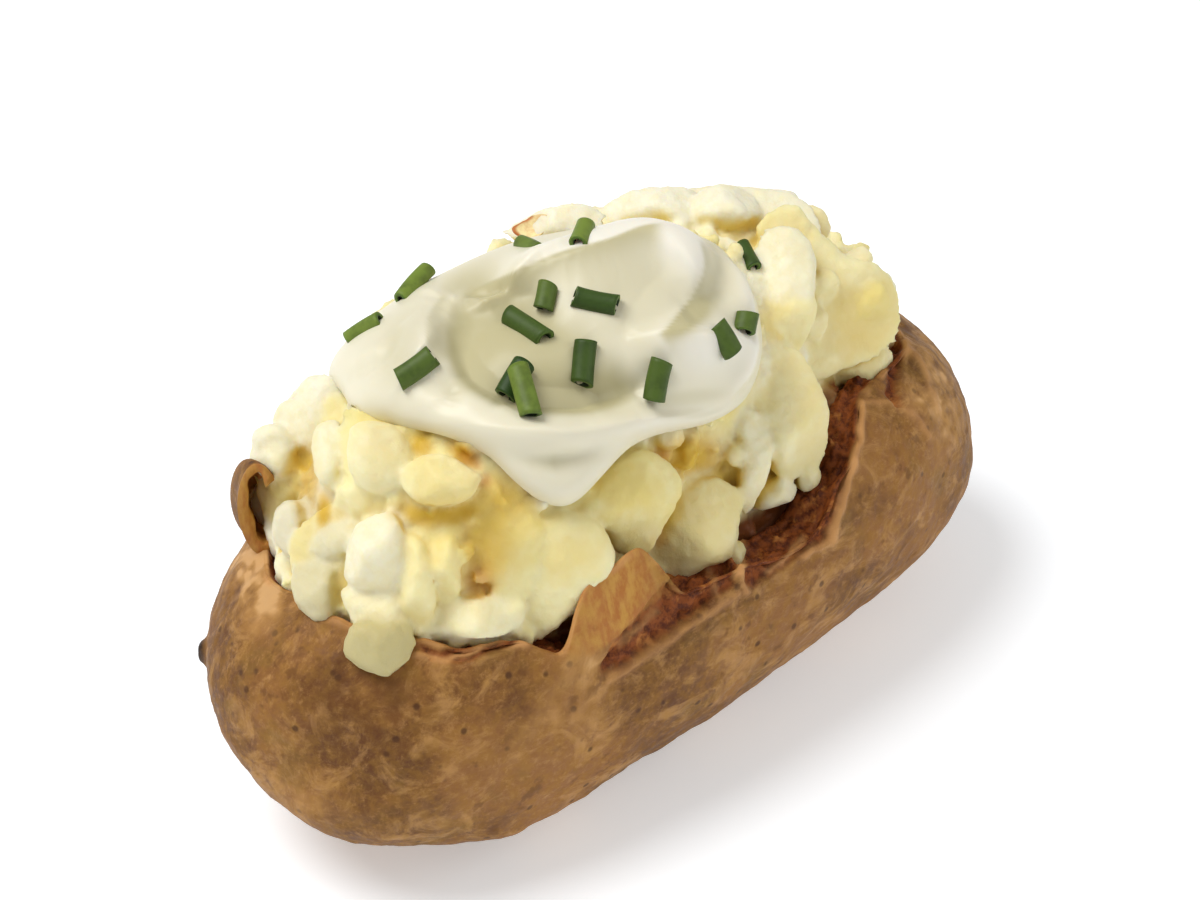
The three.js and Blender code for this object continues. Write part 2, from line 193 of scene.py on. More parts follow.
def tuber(around, up, inset=0):
    around, up = np.broadcast_arrays(np.asarray(around, float), np.asarray(up, float))
    way = heading(around, up)
    reach = (np.abs(way) ** potato["bluntness"]).sum(-1) ** (-1 / potato["bluntness"])
    for swellAround, swellUp, spread, height in swellings:
        centre = heading(math.radians(swellAround), math.radians(swellUp))
        apart = np.arccos(np.clip(way @ centre, -1, 1))
        reach = reach * (1 + height * np.exp(-((apart / math.radians(spread)) ** 2)))
    half = np.array([potato["length"], potato["width"], potato["height"]]) / 2 - inset
    point = way * half * reach[..., None]
    along = point[..., 0] / (potato["length"] / 2)
    girth = 1 - potato["taper"] * along
    point[..., 1] = point[..., 1] * girth + potato["bend"] * (along**2 - 0.35)
    point[..., 2] = np.maximum(point[..., 2] * girth + potato["height"] / 2 - potato["sink"], inset)
    return point


def lipAngle(around):
    torn = np.sin(7 * around + 2.1) + 0.7 * np.sin(17 * around)
    return np.radians(eased(lip["up"], around) + 0.7 * torn)


def heapFoot(around, clear):
    inward = np.stack([-np.cos(around) / potato["length"], -np.sin(around) / potato["width"], 0 * around], -1)
    foot = tuber(around, lipAngle(around)) + unit(inward) * (eased(lip["ledge"], around) + clear)[..., None]
    foot[..., 2] = tuber(around, lipAngle(around))[..., 2] - lip["drop"]
    return foot


def cavity(around, t, clear):
    up = lipAngle(around) - math.radians(lip["below"])
    moved = heapFoot(around, clear) - tuber(around, up, lip["wall"] + clear)
    return tuber(around, up * t**0.85, lip["wall"] + clear) + moved * (t**4)[..., None]


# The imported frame's origin, in the forms' own frame.
origin = np.array([0.36, 1.45, 0])


def toFrame(points):
    return (np.asarray(points) - origin) * mm


# The camera. turned and raised in degrees; distance in mm; across and down: where the forms' origin shows.
view = dict(turned=-42.0, raised=37.0, distance=467.3, lens=85.0, sensor=36.0, width=1200, height=900,
            across=596.8, down=659.7)
focalPixels = view["lens"] / view["sensor"] * view["width"]


def addCamera():
    turned, raised = math.radians(view["turned"]), math.radians(view["raised"])
    level = math.cos(raised)
    back = Vector((math.sin(turned) * level, -math.cos(turned) * level, math.sin(raised)))
    right = Vector((math.cos(turned), math.sin(turned), 0))
    up = back.cross(right)
    aside = (view["across"] - view["width"] / 2) / focalPixels * view["distance"]
    above = (view["height"] / 2 - view["down"]) / focalPixels * view["distance"]
    eye = view["distance"] * back - aside * right - above * up
    data = bpy.data.cameras.new("view")
    data.lens, data.sensor_width = view["lens"], view["sensor"]
    camera = bpy.data.objects.new("view", data)
    bpy.context.scene.collection.objects.link(camera)
    place = Matrix((right, up, back)).transposed().to_4x4()
    place.translation = Vector(toFrame(np.array(eye)))
    camera.matrix_world = place
    bpy.context.scene.camera = camera
    return [np.array(v) for v in (eye, back, right, up)]


eye, backWay, rightWay, upWay = addCamera()


def onFrame(points):  # where points show, on a 1200 by 900 frame
    away = np.asarray(points) - eye
    depth = -(away @ backWay)
    return np.stack([view["width"] / 2 + (away @ rightWay) / depth * focalPixels,
                     view["height"] / 2 - (away @ upWay) / depth * focalPixels], -1)


# Two soft lights, by the way they lie in and how far away in metres, a pale sky and a pale floor.
studio = dict(
    key=dict(way=(-0.48, 0.34, 1.1), away=1.1, size=0.7, power=9.6, colour=(1, 0.99, 0.965)),
    fill=dict(way=(0.45, -0.8, 0.6), away=1.2, size=1.0, power=3.6, colour=(1, 0.985, 0.95)),
    aim=0.04, sky=(1.0, 0.995, 0.98), skyStrength=0.36,
    floorSide=6.0, floorColour=(0.89, 0.92, 0.965), floorRough=0.9, floorGlow=0.32,
    glowColour=(0.98, 0.99, 1),
)


def addLight(name, way, away, size, power, colour):
    data = bpy.data.lights.new(name, "AREA")
    data.shape, data.size, data.energy, data.color = "DISK", size, power, colour
    light = bpy.data.objects.new(name, data)
    bpy.context.scene.collection.objects.link(light)
    towards = Vector(way).normalized()
    light.location = towards * away + Vector((0, 0, studio["aim"]))
    light.rotation_euler = towards.to_track_quat("Z", "Y").to_euler()


def addStudio():
    for name in ("key", "fill"):
        addLight(name, **studio[name])
    world = bpy.data.worlds.new("studio")
    world.use_nodes = True
    world.node_tree.nodes["Background"].inputs["Color"].default_value = (*studio["sky"], 1)
    world.node_tree.nodes["Background"].inputs["Strength"].default_value = studio["skyStrength"]
    bpy.context.scene.world = world
    bpy.context.scene.view_settings.view_transform = "Standard"
    half = studio["floorSide"] / 2
    mesh = bpy.data.meshes.new("floor")
    corners = [(-half, -half, 0), (half, -half, 0), (half, half, 0), (-half, half, 0)]
    mesh.from_pydata(corners, [], [(0, 1, 2, 3)])
    floor = bpy.data.objects.new("floor", mesh)
    bpy.context.scene.collection.objects.link(floor)
    material = bpy.data.materials.new("paleFloor")
    material.use_nodes = True
    shader = material.node_tree.nodes["Principled BSDF"]
    shader.inputs["Base Color"].default_value = (*studio["floorColour"], 1)
    shader.inputs["Roughness"].default_value = studio["floorRough"]
    shader.inputs["Emission Color"].default_value = (*studio["glowColour"], 1)
    shader.inputs["Emission Strength"].default_value = studio["floorGlow"]
    mesh.materials.append(material)


addStudio()
print("camera, lights and floor are set")


def srgb(red, green, blue):
    shares = np.array([red, green, blue]) / 255
    linear = np.where(shares <= 0.04045, shares / 12.92, ((shares + 0.055) / 1.055) ** 2.4)
    return (*linear.tolist(), 1.0)


class Finish:  # a material and its node tree, on the object's own coordinates
    def __init__(self, name, **fixed):
        self.material = bpy.data.materials.new(name)
        self.material.use_nodes = True
        self.tree = self.material.node_tree
        self.shader = self.tree.nodes["Principled BSDF"]
        for key, value in fixed.items():
            self.shader.inputs[key.replace("_", " ")].default_value = value
        self.places = self.tree.nodes.new("ShaderNodeTexCoord").outputs["Object"]

    def add(self, kind, inputs=None, **settings):
        made = self.tree.nodes.new(kind)
        for key, value in settings.items():
            setattr(made, key, value)
        for key, value in (inputs or {}).items():
            if isinstance(value, bpy.types.NodeSocket):
                self.tree.links.new(value, made.inputs[key])
            else:
                made.inputs[key].default_value = value
        return made

    def stretched(self, scale, shift=(0, 0, 0)):
        made = self.add("ShaderNodeMapping", {"Vector": self.places, "Scale": scale, "Location": shift})
        return made.outputs[0]

    def noise(self, size, detail=4.0, roughness=0.55, places=None, warp=0.0):  # size in millimetres
        made = self.add("ShaderNodeTexNoise", {"Vector": places or self.places, "Scale": 1 / (size * mm),
                                               "Detail": detail, "Roughness": roughness, "Distortion": warp})
        return made.outputs["Fac"]

    def cells(self, size, feature="F1", places=None):
        made = self.add("ShaderNodeTexVoronoi", {"Vector": places or self.places, "Scale": 1 / (size * mm)},
                        feature=feature)
        return made.outputs["Distance"]

    def attribute(self, name):
        return self.add("ShaderNodeAttribute", attribute_name=name).outputs["Fac"]

    def span(self, value, low, high, toLow=0.0, toHigh=1.0):
        inputs = {"Value": value, "From Min": low, "From Max": high, "To Min": toLow, "To Max": toHigh}
        return self.add("ShaderNodeMapRange", inputs, interpolation_type="SMOOTHSTEP").outputs[0]

    def maths(self, kind, a, b=0.5):
        return self.add("ShaderNodeMath", {0: a, 1: b}, operation=kind).outputs[0]

    def mixed(self, factor, a, b, blend="MIX"):
        made = self.add("ShaderNodeMix", {0: factor, 6: a, 7: b}, data_type="RGBA", blend_type=blend)
        return made.outputs[2]

    def colour(self, socket):
        self.tree.links.new(socket, self.shader.inputs["Base Color"])

    def rough(self, socket):
        self.tree.links.new(socket, self.shader.inputs["Roughness"])

    def bumps(self, *heights):  # (height socket, strength, depth in millimetres), the coarsest first
        normal = None
        for height, strength, depth in heights:
            inputs = {"Height": height, "Strength": strength, "Distance": depth * mm}
            if normal:
                inputs["Normal"] = normal
            normal = self.add("ShaderNodeBump", inputs).outputs[0]
        self.tree.links.new(normal, self.shader.inputs["Normal"])


# light: painted light for the lit skin; dark and tan also carry the shade attribute's painted shade and
# light.
skinLook = dict(
    brown=srgb(140, 93, 46), dark=srgb(96, 57, 24), tan=srgb(196, 148, 88), straw=srgb(166, 122, 54),
    olive=srgb(122, 90, 36), speck=srgb(62, 34, 15), torn=srgb(140, 74, 30), tornDark=srgb(82, 34, 12),
    tornLight=srgb(176, 112, 54), edge=srgb(206, 152, 96), flap=srgb(196, 146, 70), light=srgb(222, 178, 126),
    nub=srgb(44, 28, 17),
)


def skinFinish():
    look = skinLook
    skin = Finish("bakedSkin", Roughness=0.62, Specular_IOR_Level=0.22)
    along = skin.stretched((0.7, 1, 1))
    broad = skin.span(skin.noise(17, 3, 0.5, along), 0.38, 0.62)
    patches = skin.span(skin.noise(6, 6, 0.66, along, warp=0.8), 0.48, 0.66)
    mottle = skin.span(skin.noise(2.2, 6, 0.7), 0.36, 0.66)
    base = skin.mixed(broad, look["dark"], look["brown"])
    base = skin.mixed(skin.maths("MULTIPLY", patches, 0.6), base, look["tan"])
    base = skin.mixed(skin.maths("MULTIPLY", mottle, 0.38), base, look["straw"])
    green = skin.span(skin.noise(9, 4, 0.6, skin.stretched((1, 1, 1), (0.2, 0.6, 0.9))), 0.52, 0.7)
    base = skin.mixed(skin.maths("MULTIPLY", green, 0.55), base, look["olive"])
    streaks = skin.span(skin.noise(1.1, 6, 0.75, skin.stretched((0.6, 1, 0.9), (0.4, 0.2, 0.7))), 0.5, 0.68)
    base = skin.mixed(skin.maths("MULTIPLY", streaks, 0.32), base, look["tan"])
    netting = skin.cells(1.5, "DISTANCE_TO_EDGE", skin.stretched((1, 1.15, 1.1), (0.3, 0, 0)))
    net = skin.span(netting, 0.0, 0.16, 1, 0)
    base = skin.mixed(skin.maths("MULTIPLY", net, 0.05), base, look["tan"])
    blots = skin.span(skin.noise(3.6, 3, 0.6, skin.stretched((1, 1, 1), (0.7, 0.1, 0.4))), 0.58, 0.7)
    base = skin.mixed(skin.maths("MULTIPLY", blots, 0.55), base, look["dark"])
    specks = skin.span(skin.cells(4.6), 0.07, 0.16, 1, 0)
    base = skin.mixed(skin.maths("MULTIPLY", specks, 0.7), base, look["speck"])
    # Painted light and shade: tan and light where the skin is lit, dark where it lies in shade under the
    # heap.
    shade = skin.attribute("shade")
    base = skin.mixed(skin.span(shade, 0.0, 1.0, 0, 0.78), base, look["tan"])
    base = skin.mixed(skin.span(shade, 0.6, 1.0, 0, 0.5), base, look["light"])
    base = skin.mixed(skin.span(shade, 0.0, -1.0, 0, 0.75), base, look["dark"])
    grain = skin.noise(1.7, 6, 0.7)
    tornTone = skin.mixed(skin.span(grain, 0.36, 0.6), look["tornDark"], look["torn"])
    shreds = skin.noise(3.1, 4, 0.6, skin.stretched((1, 1, 1), (0.2, 0.5, 0.1)))
    tornTone = skin.mixed(skin.span(shreds, 0.54, 0.7), tornTone, look["tornLight"])
    strands = skin.noise(2.4, 4, 0.6, skin.stretched((1.6, 1.6, 0.5)))
    flapTone = skin.mixed(skin.span(strands, 0.35, 0.65), look["tornLight"], look["flap"])
    base = skin.mixed(skin.attribute("flap"), base, flapTone)
    base = skin.mixed(skin.attribute("torn"), base, tornTone)
    base = skin.mixed(skin.attribute("edge"), base, look["edge"])
    base = skin.mixed(skin.attribute("nub"), base, look["nub"])
    skin.colour(base)
    skin.rough(skin.span(mottle, 0, 1, 0.56, 0.74))
    skin.bumps((skin.noise(5, 4, 0.6), 0.4, 0.6), (patches, 0.3, 0.25), (grain, 0.55, 0.2))
    return skin.material


# Painted shade: a deeper yellow for the hollows between lumps, and a golden tint where the flesh lies deep
# between slabs.
fleshLook = dict(
    pale=srgb(243, 233, 176), cool=srgb(243, 239, 218), goldenShade=srgb(210, 168, 26), warm=srgb(234, 216, 138),
    orange=srgb(206, 126, 34), kernel=srgb(198, 186, 134), hollowShade=srgb(226, 198, 100),
    browned=srgb(122, 68, 30),
)


def fleshFinish():
    look = fleshLook
    flesh = Finish("fluffedFlesh", Roughness=0.5, Specular_IOR_Level=0.3, Subsurface_Weight=0.35,
                   Subsurface_Radius=(2.6 * mm, 1.9 * mm, 0.9 * mm), Subsurface_Scale=1.0)
    broad = flesh.span(flesh.noise(11, 3, 0.5), 0.38, 0.62)
    fine = flesh.span(flesh.noise(2.2, 4, 0.6), 0.4, 0.65)
    base = flesh.mixed(broad, look["pale"], look["warm"])
    base = flesh.mixed(flesh.attribute("white"), base, look["cool"])
    base = flesh.mixed(flesh.maths("MULTIPLY", fine, 0.2), base, look["warm"])
    # painted shade in the hollows between lumps, where the flesh is also less white
    hollow = flesh.span(flesh.attribute("hollow"), 0.32, 0.85, 0, 0.8)
    base = flesh.mixed(hollow, base, look["hollowShade"])
    # painted shade, golden, where the flesh lies deep between the slabs
    base = flesh.mixed(flesh.attribute("goldenShade"), base, look["goldenShade"])
    base = flesh.mixed(flesh.attribute("orange"), base, look["orange"])
    base = flesh.mixed(flesh.attribute("kernel"), base, look["kernel"])
    base = flesh.mixed(flesh.attribute("browned"), base, look["browned"])
    flesh.colour(base)
    flesh.rough(flesh.span(fine, 0, 1, 0.42, 0.6))
    flesh.bumps((flesh.noise(1.6, 6, 0.7), 0.5, 0.35), (flesh.noise(0.6, 4, 0.65), 0.5, 0.16))
    return flesh.material


# body: the cream's own colour; raised: a painted highlight on its crests; deep: painted shade in its grooves
# and below its folds.
creamLook = dict(raised=srgb(242, 238, 227), body=srgb(230, 224, 200), deep=srgb(192, 184, 144))


def creamFinish():
    look = creamLook
    cream = Finish("sourCream", Roughness=0.4, Specular_IOR_Level=0.4, Subsurface_Weight=0.25,
                   Subsurface_Radius=(2 * mm, 1.6 * mm, 1.1 * mm), Subsurface_Scale=1.0)
    fold = cream.attribute("fold")
    # Painted shade in the grooves and a painted highlight on the crests, by the fold's height.
    base = cream.mixed(cream.span(fold, 0.0, -2.4), look["body"], look["deep"])
    base = cream.mixed(cream.span(fold, 1.3, 4.4, 0, 0.85), base, look["raised"])
    # painted shade from the placed spots and below the folds
    base = cream.mixed(cream.attribute("paintedShade"), base, look["deep"])
    cream.colour(base)
    cream.bumps((cream.noise(7, 2, 0.4), 0.25, 0.5),)
    return cream.material


# deep: the darker blotches, and the painted shade inside the tube.
chiveLook = dict(green=srgb(42, 68, 20), light=srgb(118, 138, 54), deep=srgb(28, 44, 14),
                 cut=srgb(84, 112, 44))


def chiveFinish():
    look = chiveLook
    chive = Finish("cutChive", Roughness=0.5, Specular_IOR_Level=0.28, Subsurface_Weight=0.12,
                   Subsurface_Radius=(0.6 * mm, 1.2 * mm, 0.4 * mm), Subsurface_Scale=1.0)
    base = chive.mixed(chive.attribute("tone"), look["green"], look["light"])
    base = chive.mixed(chive.span(chive.noise(2.6, 3, 0.6), 0.4, 0.7, 0, 0.35), base, look["deep"])
    # painted shade inside the hollow tube
    base = chive.mixed(chive.attribute("inside"), base, look["deep"])
    base = chive.mixed(chive.attribute("cutEnd"), base, look["cut"])
    chive.colour(base)
    chive.bumps((chive.noise(0.7, 3, 0.6), 0.25, 0.08),)
    return chive.material


flakeLook = dict(pale=srgb(246, 230, 172), rim=srgb(190, 104, 44), back=srgb(172, 110, 56))


def flakeFinish():
    look = flakeLook
    flake = Finish("brownedFlake", Roughness=0.55, Specular_IOR_Level=0.3)
    mottle = flake.span(flake.noise(1.2, 4, 0.6), 0.35, 0.7)
    base = flake.mixed(flake.attribute("outside"), look["pale"], look["back"])
    base = flake.mixed(flake.attribute("rim"), base, look["rim"])
    flake.colour(flake.mixed(flake.maths("MULTIPLY", mottle, 0.4), base, look["rim"]))
    flake.bumps((mottle, 0.3, 0.1),)
    return flake.material


# A strip of skin torn loose at the left end and rolled up: degrees of the lip it runs along, half sizes and
# thickness of its curve, and how far round it is rolled.
curl = dict(start=134, end=151, out=3.3, up=7.6, thick=2.0, first=-34, last=228, sunk=0.9, low=0.6, around=26,
            along=30)
# A flap of skin that stands up at the front: degrees around, half its width in degrees, how square its top
# is, and mm that it rises and leans in.
strip = dict(around=250.1, spread=7.9, square=4.5, rise=10.6, inward=4.2)
jacketShape = dict(
    columns=560, outside=118, ledge=40, cavity=10, denser=0.35, denserAt=272,
    edgeWidth=1.0, crag=1.2, cragSize=3.0,
    fall=[(0, 1.4), (60, 2.0), (120, 2.0), (205, 2.0), (230, 1.8), (242, 1.6), (262, 2.0), (284, 1.6),
          (296, 1.0), (315, 0.8), (340, 1.0)],  # around in degrees, mm from the lip down to the torn ledge
    ragged=[(6.0, 0.9), (2.4, 0.45)],  # size of the unevenness and its height, here and in relief
    relief=[(15, 0.45), (6, 0.22), (2.2, 0.1)],
    pleats=[(270.5, 0.9, 2.6), (297, 1.1, 1.5)],  # skin across the tear: around and width in degrees, height
    nub=dict(around=152, up=94, wide=1.6, tall=3.6, height=1.3),  # the stalk's stub, in degrees and mm
    clear=0.02,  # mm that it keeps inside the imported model's box
)


outsideShares = 1 - (1 - np.linspace(0, 1, jacketShape["outside"] + 1)[1:]) ** 1.25


def standingShare(around):  # how far the flap stands up: flat on top, falling off at both sides
    beside = around - math.radians(strip["around"])
    apart = np.arctan2(np.sin(beside), np.cos(beside))
    return np.exp(-np.abs(apart / math.radians(strip["spread"])) ** strip["square"])


def lipPoint(around):
    edge = tuber(around, lipAngle(around))
    leaning = standingShare(around)
    outward = np.stack([np.cos(around), np.sin(around), 0 * around], -1)
    edge[..., 2] += strip["rise"] * leaning
    edge[..., 2] += sum(height * cloud(edge, size, seed=3) for size, height in jacketShape["ragged"])
    return edge - outward * (strip["inward"] * leaning)[..., None]


def jacketRows():
    shape = jacketShape
    around = np.arange(shape["columns"]) / shape["columns"] * turn
    around = around - shape["denser"] * np.sin(around - math.radians(shape["denserAt"]))
    base = tuber(around, lipAngle(around))
    edge = lipPoint(around)
    foot = cavity(around, np.ones_like(around), 0)
    rows, marks = [], []
    for s in outsideShares:
        rows.append(tuber(around, lipAngle(around) * s) + (edge - base) * s**12)
        marks.append(0 * around)
    width = np.linalg.norm((foot - edge)[:, :2], axis=-1)
    fall = eased(shape["fall"], around)
    inward = unit(np.concatenate([(foot - edge)[:, :2], 0 * width[:, None]], -1))
    for t in np.linspace(0, 1, shape["ledge"] + 1)[1:] ** 1.35:
        gone = t * width
        point = edge + inward * gone[:, None]
        shelf = base[:, 2] - fall + (foot[:, 2] - base[:, 2] + fall) * smooth(t, 0.86, 1)
        crags = clouds(point, shape["cragSize"], seed=5) - 0.5 * ridges(point, 1.6, seed=8)
        shelf = shelf + shape["crag"] * crags * math.sin(math.pi * t) ** 0.5
        for pleatAround, spread, height in shape["pleats"]:
            near = np.exp(-((np.degrees(around) - pleatAround) / spread) ** 2)
            shelf = shelf + height * near * math.sin(math.pi * t) ** 0.4
        down = smooth(gone, shape["edgeWidth"] * 0.5, shape["edgeWidth"] * 1.9)
        point[:, 2] = edge[:, 2] + (shelf - edge[:, 2]) * down
        rows.append(point)
        marks.append(1 + 0 * around)
    for t in np.linspace(1, 0, shape["cavity"] + 1)[1:-1]:
        rows.append(cavity(around, t + 0 * around, 0))
        marks.append(1 + 0 * around)
    return around, rows, np.array(marks)


def rolledStrip():
    # its cross-section, out and back, for every step along the lip; closed by bands at both ends
    shape = curl
    share, along = np.meshgrid(np.linspace(0, 1, shape["around"]), np.linspace(0, 1, shape["along"]))
    torn = 1.3 * np.sin(5 * share + 1) + 0.5 * np.sin(13 * share)
    around = np.radians(shape["start"] + (shape["end"] - shape["start"] + torn) * along)
    edge = tuber(around, lipAngle(around))
    outward = np.stack([np.cos(around), np.sin(around), 0 * around], -1)
    angle = np.radians(shape["first"] + (shape["last"] - shape["first"]) * share)
    grown = shape["low"] + (1 - shape["low"]) * smooth(along, 0, 0.6)
    sides = []
    for thinner in (0, 1):
        uneven = 0.16 * np.sin(9 * share + 5 * along) + 0.1 * np.sin(31 * share + 3 * along)
        thick = thinner * shape["thick"] * (1 - 0.35 * share + uneven)
        out = (shape["out"] * grown - thick) * np.sin(angle)
        up = shape["up"] * grown - (shape["up"] * grown - thick) * np.cos(angle) - shape["sunk"]
        sides.append(edge + outward * out[..., None] + np.array([0, 0, 1]) * up[..., None])
    loops = np.concatenate([sides[0], sides[1][:, ::-1]], axis=1)
    count, size = loops.shape[:2]
    faces, last = loopFaces(count, size), (count - 1) * size
    for k in range(shape["around"] - 1):
        faces.append((k + 1, k, size - 1 - k, size - 2 - k))
    for k in range(shape["around"] - 1):
        faces.append((last + k, last + k + 1, last + size - 2 - k, last + size - 1 - k))
    inner = np.tile(np.repeat([0.0, 1.0], shape["around"]), count)
    rim = np.tile(np.concatenate([share[0], share[0][::-1]]), count) > 0.96
    rim = np.maximum(rim * 1.0, np.repeat(np.arange(count) >= count - 2, size))
    return loops.reshape(-1, 3), faces, inner, rim


# Patches of painted light (up to 1) and painted shade (down to -1) where the skin faces the view, mixed with
# its own lighter and darker patches: middle and half sizes on a 1200 by 900 frame, turned in degrees.
skinPatches = [
    ((256, 578), (34, 50), 0, 1.15), ((300, 640), (28, 40), 0, 0.15), ((355, 690), (52, 46), 10, -0.75),
    ((365, 745), (70, 40), 0, -0.35), ((300, 790), (45, 30), 30, 0.45), ((430, 820), (80, 22), 0, 0.3),
    ((560, 720), (52, 34), -20, 0.5), ((480, 770), (60, 30), 0, 0.15), ((590, 665), (30, 22), -20, 0.6),
    ((700, 655), (60, 20), -35, 0.25), ((790, 620), (70, 24), -40, -0.3), ((860, 470), (26, 70), 12, 0.25),
    ((945, 420), (20, 60), 0, 0.55), ((916, 404), (13, 18), 0, 0.7), ((930, 360), (16, 40), -20, 0.5),
    ((895, 560), (40, 20), -45, -0.35),
    ((880, 505), (9, 14), 0, -0.8), ((895, 450), (7, 12), 0, -0.7), ((520, 690), (16, 26), 20, -0.4),
    ((640, 740), (44, 16), -30, -0.35), ((240, 680), (20, 40), 0, -0.25), ((760, 560), (30, 14), -30, 0.2),
]


def spotReach(spot, seen, power=1.0):  # a spot's strength in its middle, fading away round it
    (x, y), (wide, tall), degrees, strength = spot
    angle = math.radians(degrees)
    across = (seen[:, 0] - x) * math.cos(angle) + (seen[:, 1] - y) * math.sin(angle)
    down = (seen[:, 1] - y) * math.cos(angle) - (seen[:, 0] - x) * math.sin(angle)
    return strength * np.exp(-(((across / wide) ** 2 + (down / tall) ** 2) ** power))


def spotted(spots, seen, facing):  # the strongest of the spots at each point
    total = np.zeros(len(seen))
    for spot in spots:
        total = np.maximum(total, spotReach(spot, seen, 1.6) * facing)
    return total


def shadeOn(points, normals):
    seen = onFrame(points)
    facing = smooth(normals @ backWay, -0.1, 0.25)
    total = sum(spotReach(spot, seen) for spot in skinPatches)
    broken = 0.85 + 0.6 * clouds(points, 5.0, seed=70) + 0.6 * clouds(points, 2.0, seed=71)
    return np.clip(total * broken * facing + (1 - facing) * 0.5 * clouds(points, 22.0, seed=74), -1, 1)


# Where the skin is torn away outside the lip, and the light ridges beside the tears, on a 1200 by 900 frame.
tears = [
    [(598, 668), (612, 645), (632, 622), (652, 598), (662, 582), (690, 574), (732, 556), (738, 588),
     (702, 612), (662, 640), (628, 664), (606, 678)],
    [(742, 512), (790, 486), (826, 462), (842, 430), (838, 392), (856, 384), (860, 404), (858, 440),
     (846, 486), (832, 540), (802, 556), (770, 578), (746, 592)],
    [(886, 348), (898, 338), (907, 350), (902, 372), (900, 392), (906, 408), (894, 408), (886, 390)],
    [(414, 640), (440, 650), (478, 642), (512, 628), (530, 640), (500, 652), (462, 664), (428, 662)],
]
ridgeLines = [
    ([(739, 490), (742, 530), (741, 560), (746, 592)], 1.0),
    ([(802, 556), (832, 541), (846, 490), (860, 440), (862, 402)], 1.0),
    ([(606, 680), (630, 667), (664, 644), (704, 616), (740, 594)], 0.7),
    ([(770, 572), (790, 556), (802, 540)], 0.6),
    ([(415, 655), (450, 660), (500, 640), (516, 628)], 0.9), ([(700, 560), (716, 580), (722, 600)], 0.4),
    ([(864, 402), (890, 404), (912, 414), (930, 436)], 0.6), ([(905, 340), (925, 372), (938, 410)], 0.5),
    ([(622, 645), (640, 628), (660, 612)], 0.5),
]
tearShape = dict(deep=1.5, soft=5.0, ridge=0.5, ridgeWide=3.2)


def apartFromLine(seen, line):  # pixels from the nearest part of a line
    least = np.full(len(seen), 1e9)
    for a, b in zip(np.array(line[:-1], float), np.array(line[1:], float)):
        t = np.clip(((seen - a) @ (b - a)) / ((b - a) @ (b - a)), 0, 1)
        least = np.minimum(least, np.hypot(*(seen - a - t[:, None] * (b - a)).T))
    return least


def insideOf(seen, outline):
    within = np.zeros(len(seen), bool)
    for (x1, y1), (x2, y2) in zip(outline, outline[1:] + outline[:1]):
        if y1 != y2:
            crosses = (y1 > seen[:, 1]) != (y2 > seen[:, 1])
            within ^= crosses & (seen[:, 0] < x1 + (seen[:, 1] - y1) / (y2 - y1) * (x2 - x1))
    return within


def tearsOn(points, normals):
    # how far the skin is torn away, 0 to 1, and how much of a light ridge there is
    seen = onFrame(points) + 3.0 * np.stack([cloud(points, 2.6, seed=80), cloud(points, 2.6, seed=81)], -1)
    facing = smooth(normals @ backWay, -0.1, 0.2)
    torn, raised = np.zeros(len(points)), np.zeros(len(points))
    for outline in tears:
        apart = apartFromLine(seen, [*outline, outline[0]]) * np.where(insideOf(seen, outline), 1, -1)
        torn = np.maximum(torn, smooth(apart, -1.5, tearShape["soft"]))
    for line, strength in ridgeLines:
        apart = apartFromLine(seen, line) / tearShape["ridgeWide"]
        raised = np.maximum(raised, strength * np.exp(-(apart**2)))
    return torn * facing, raised * facing


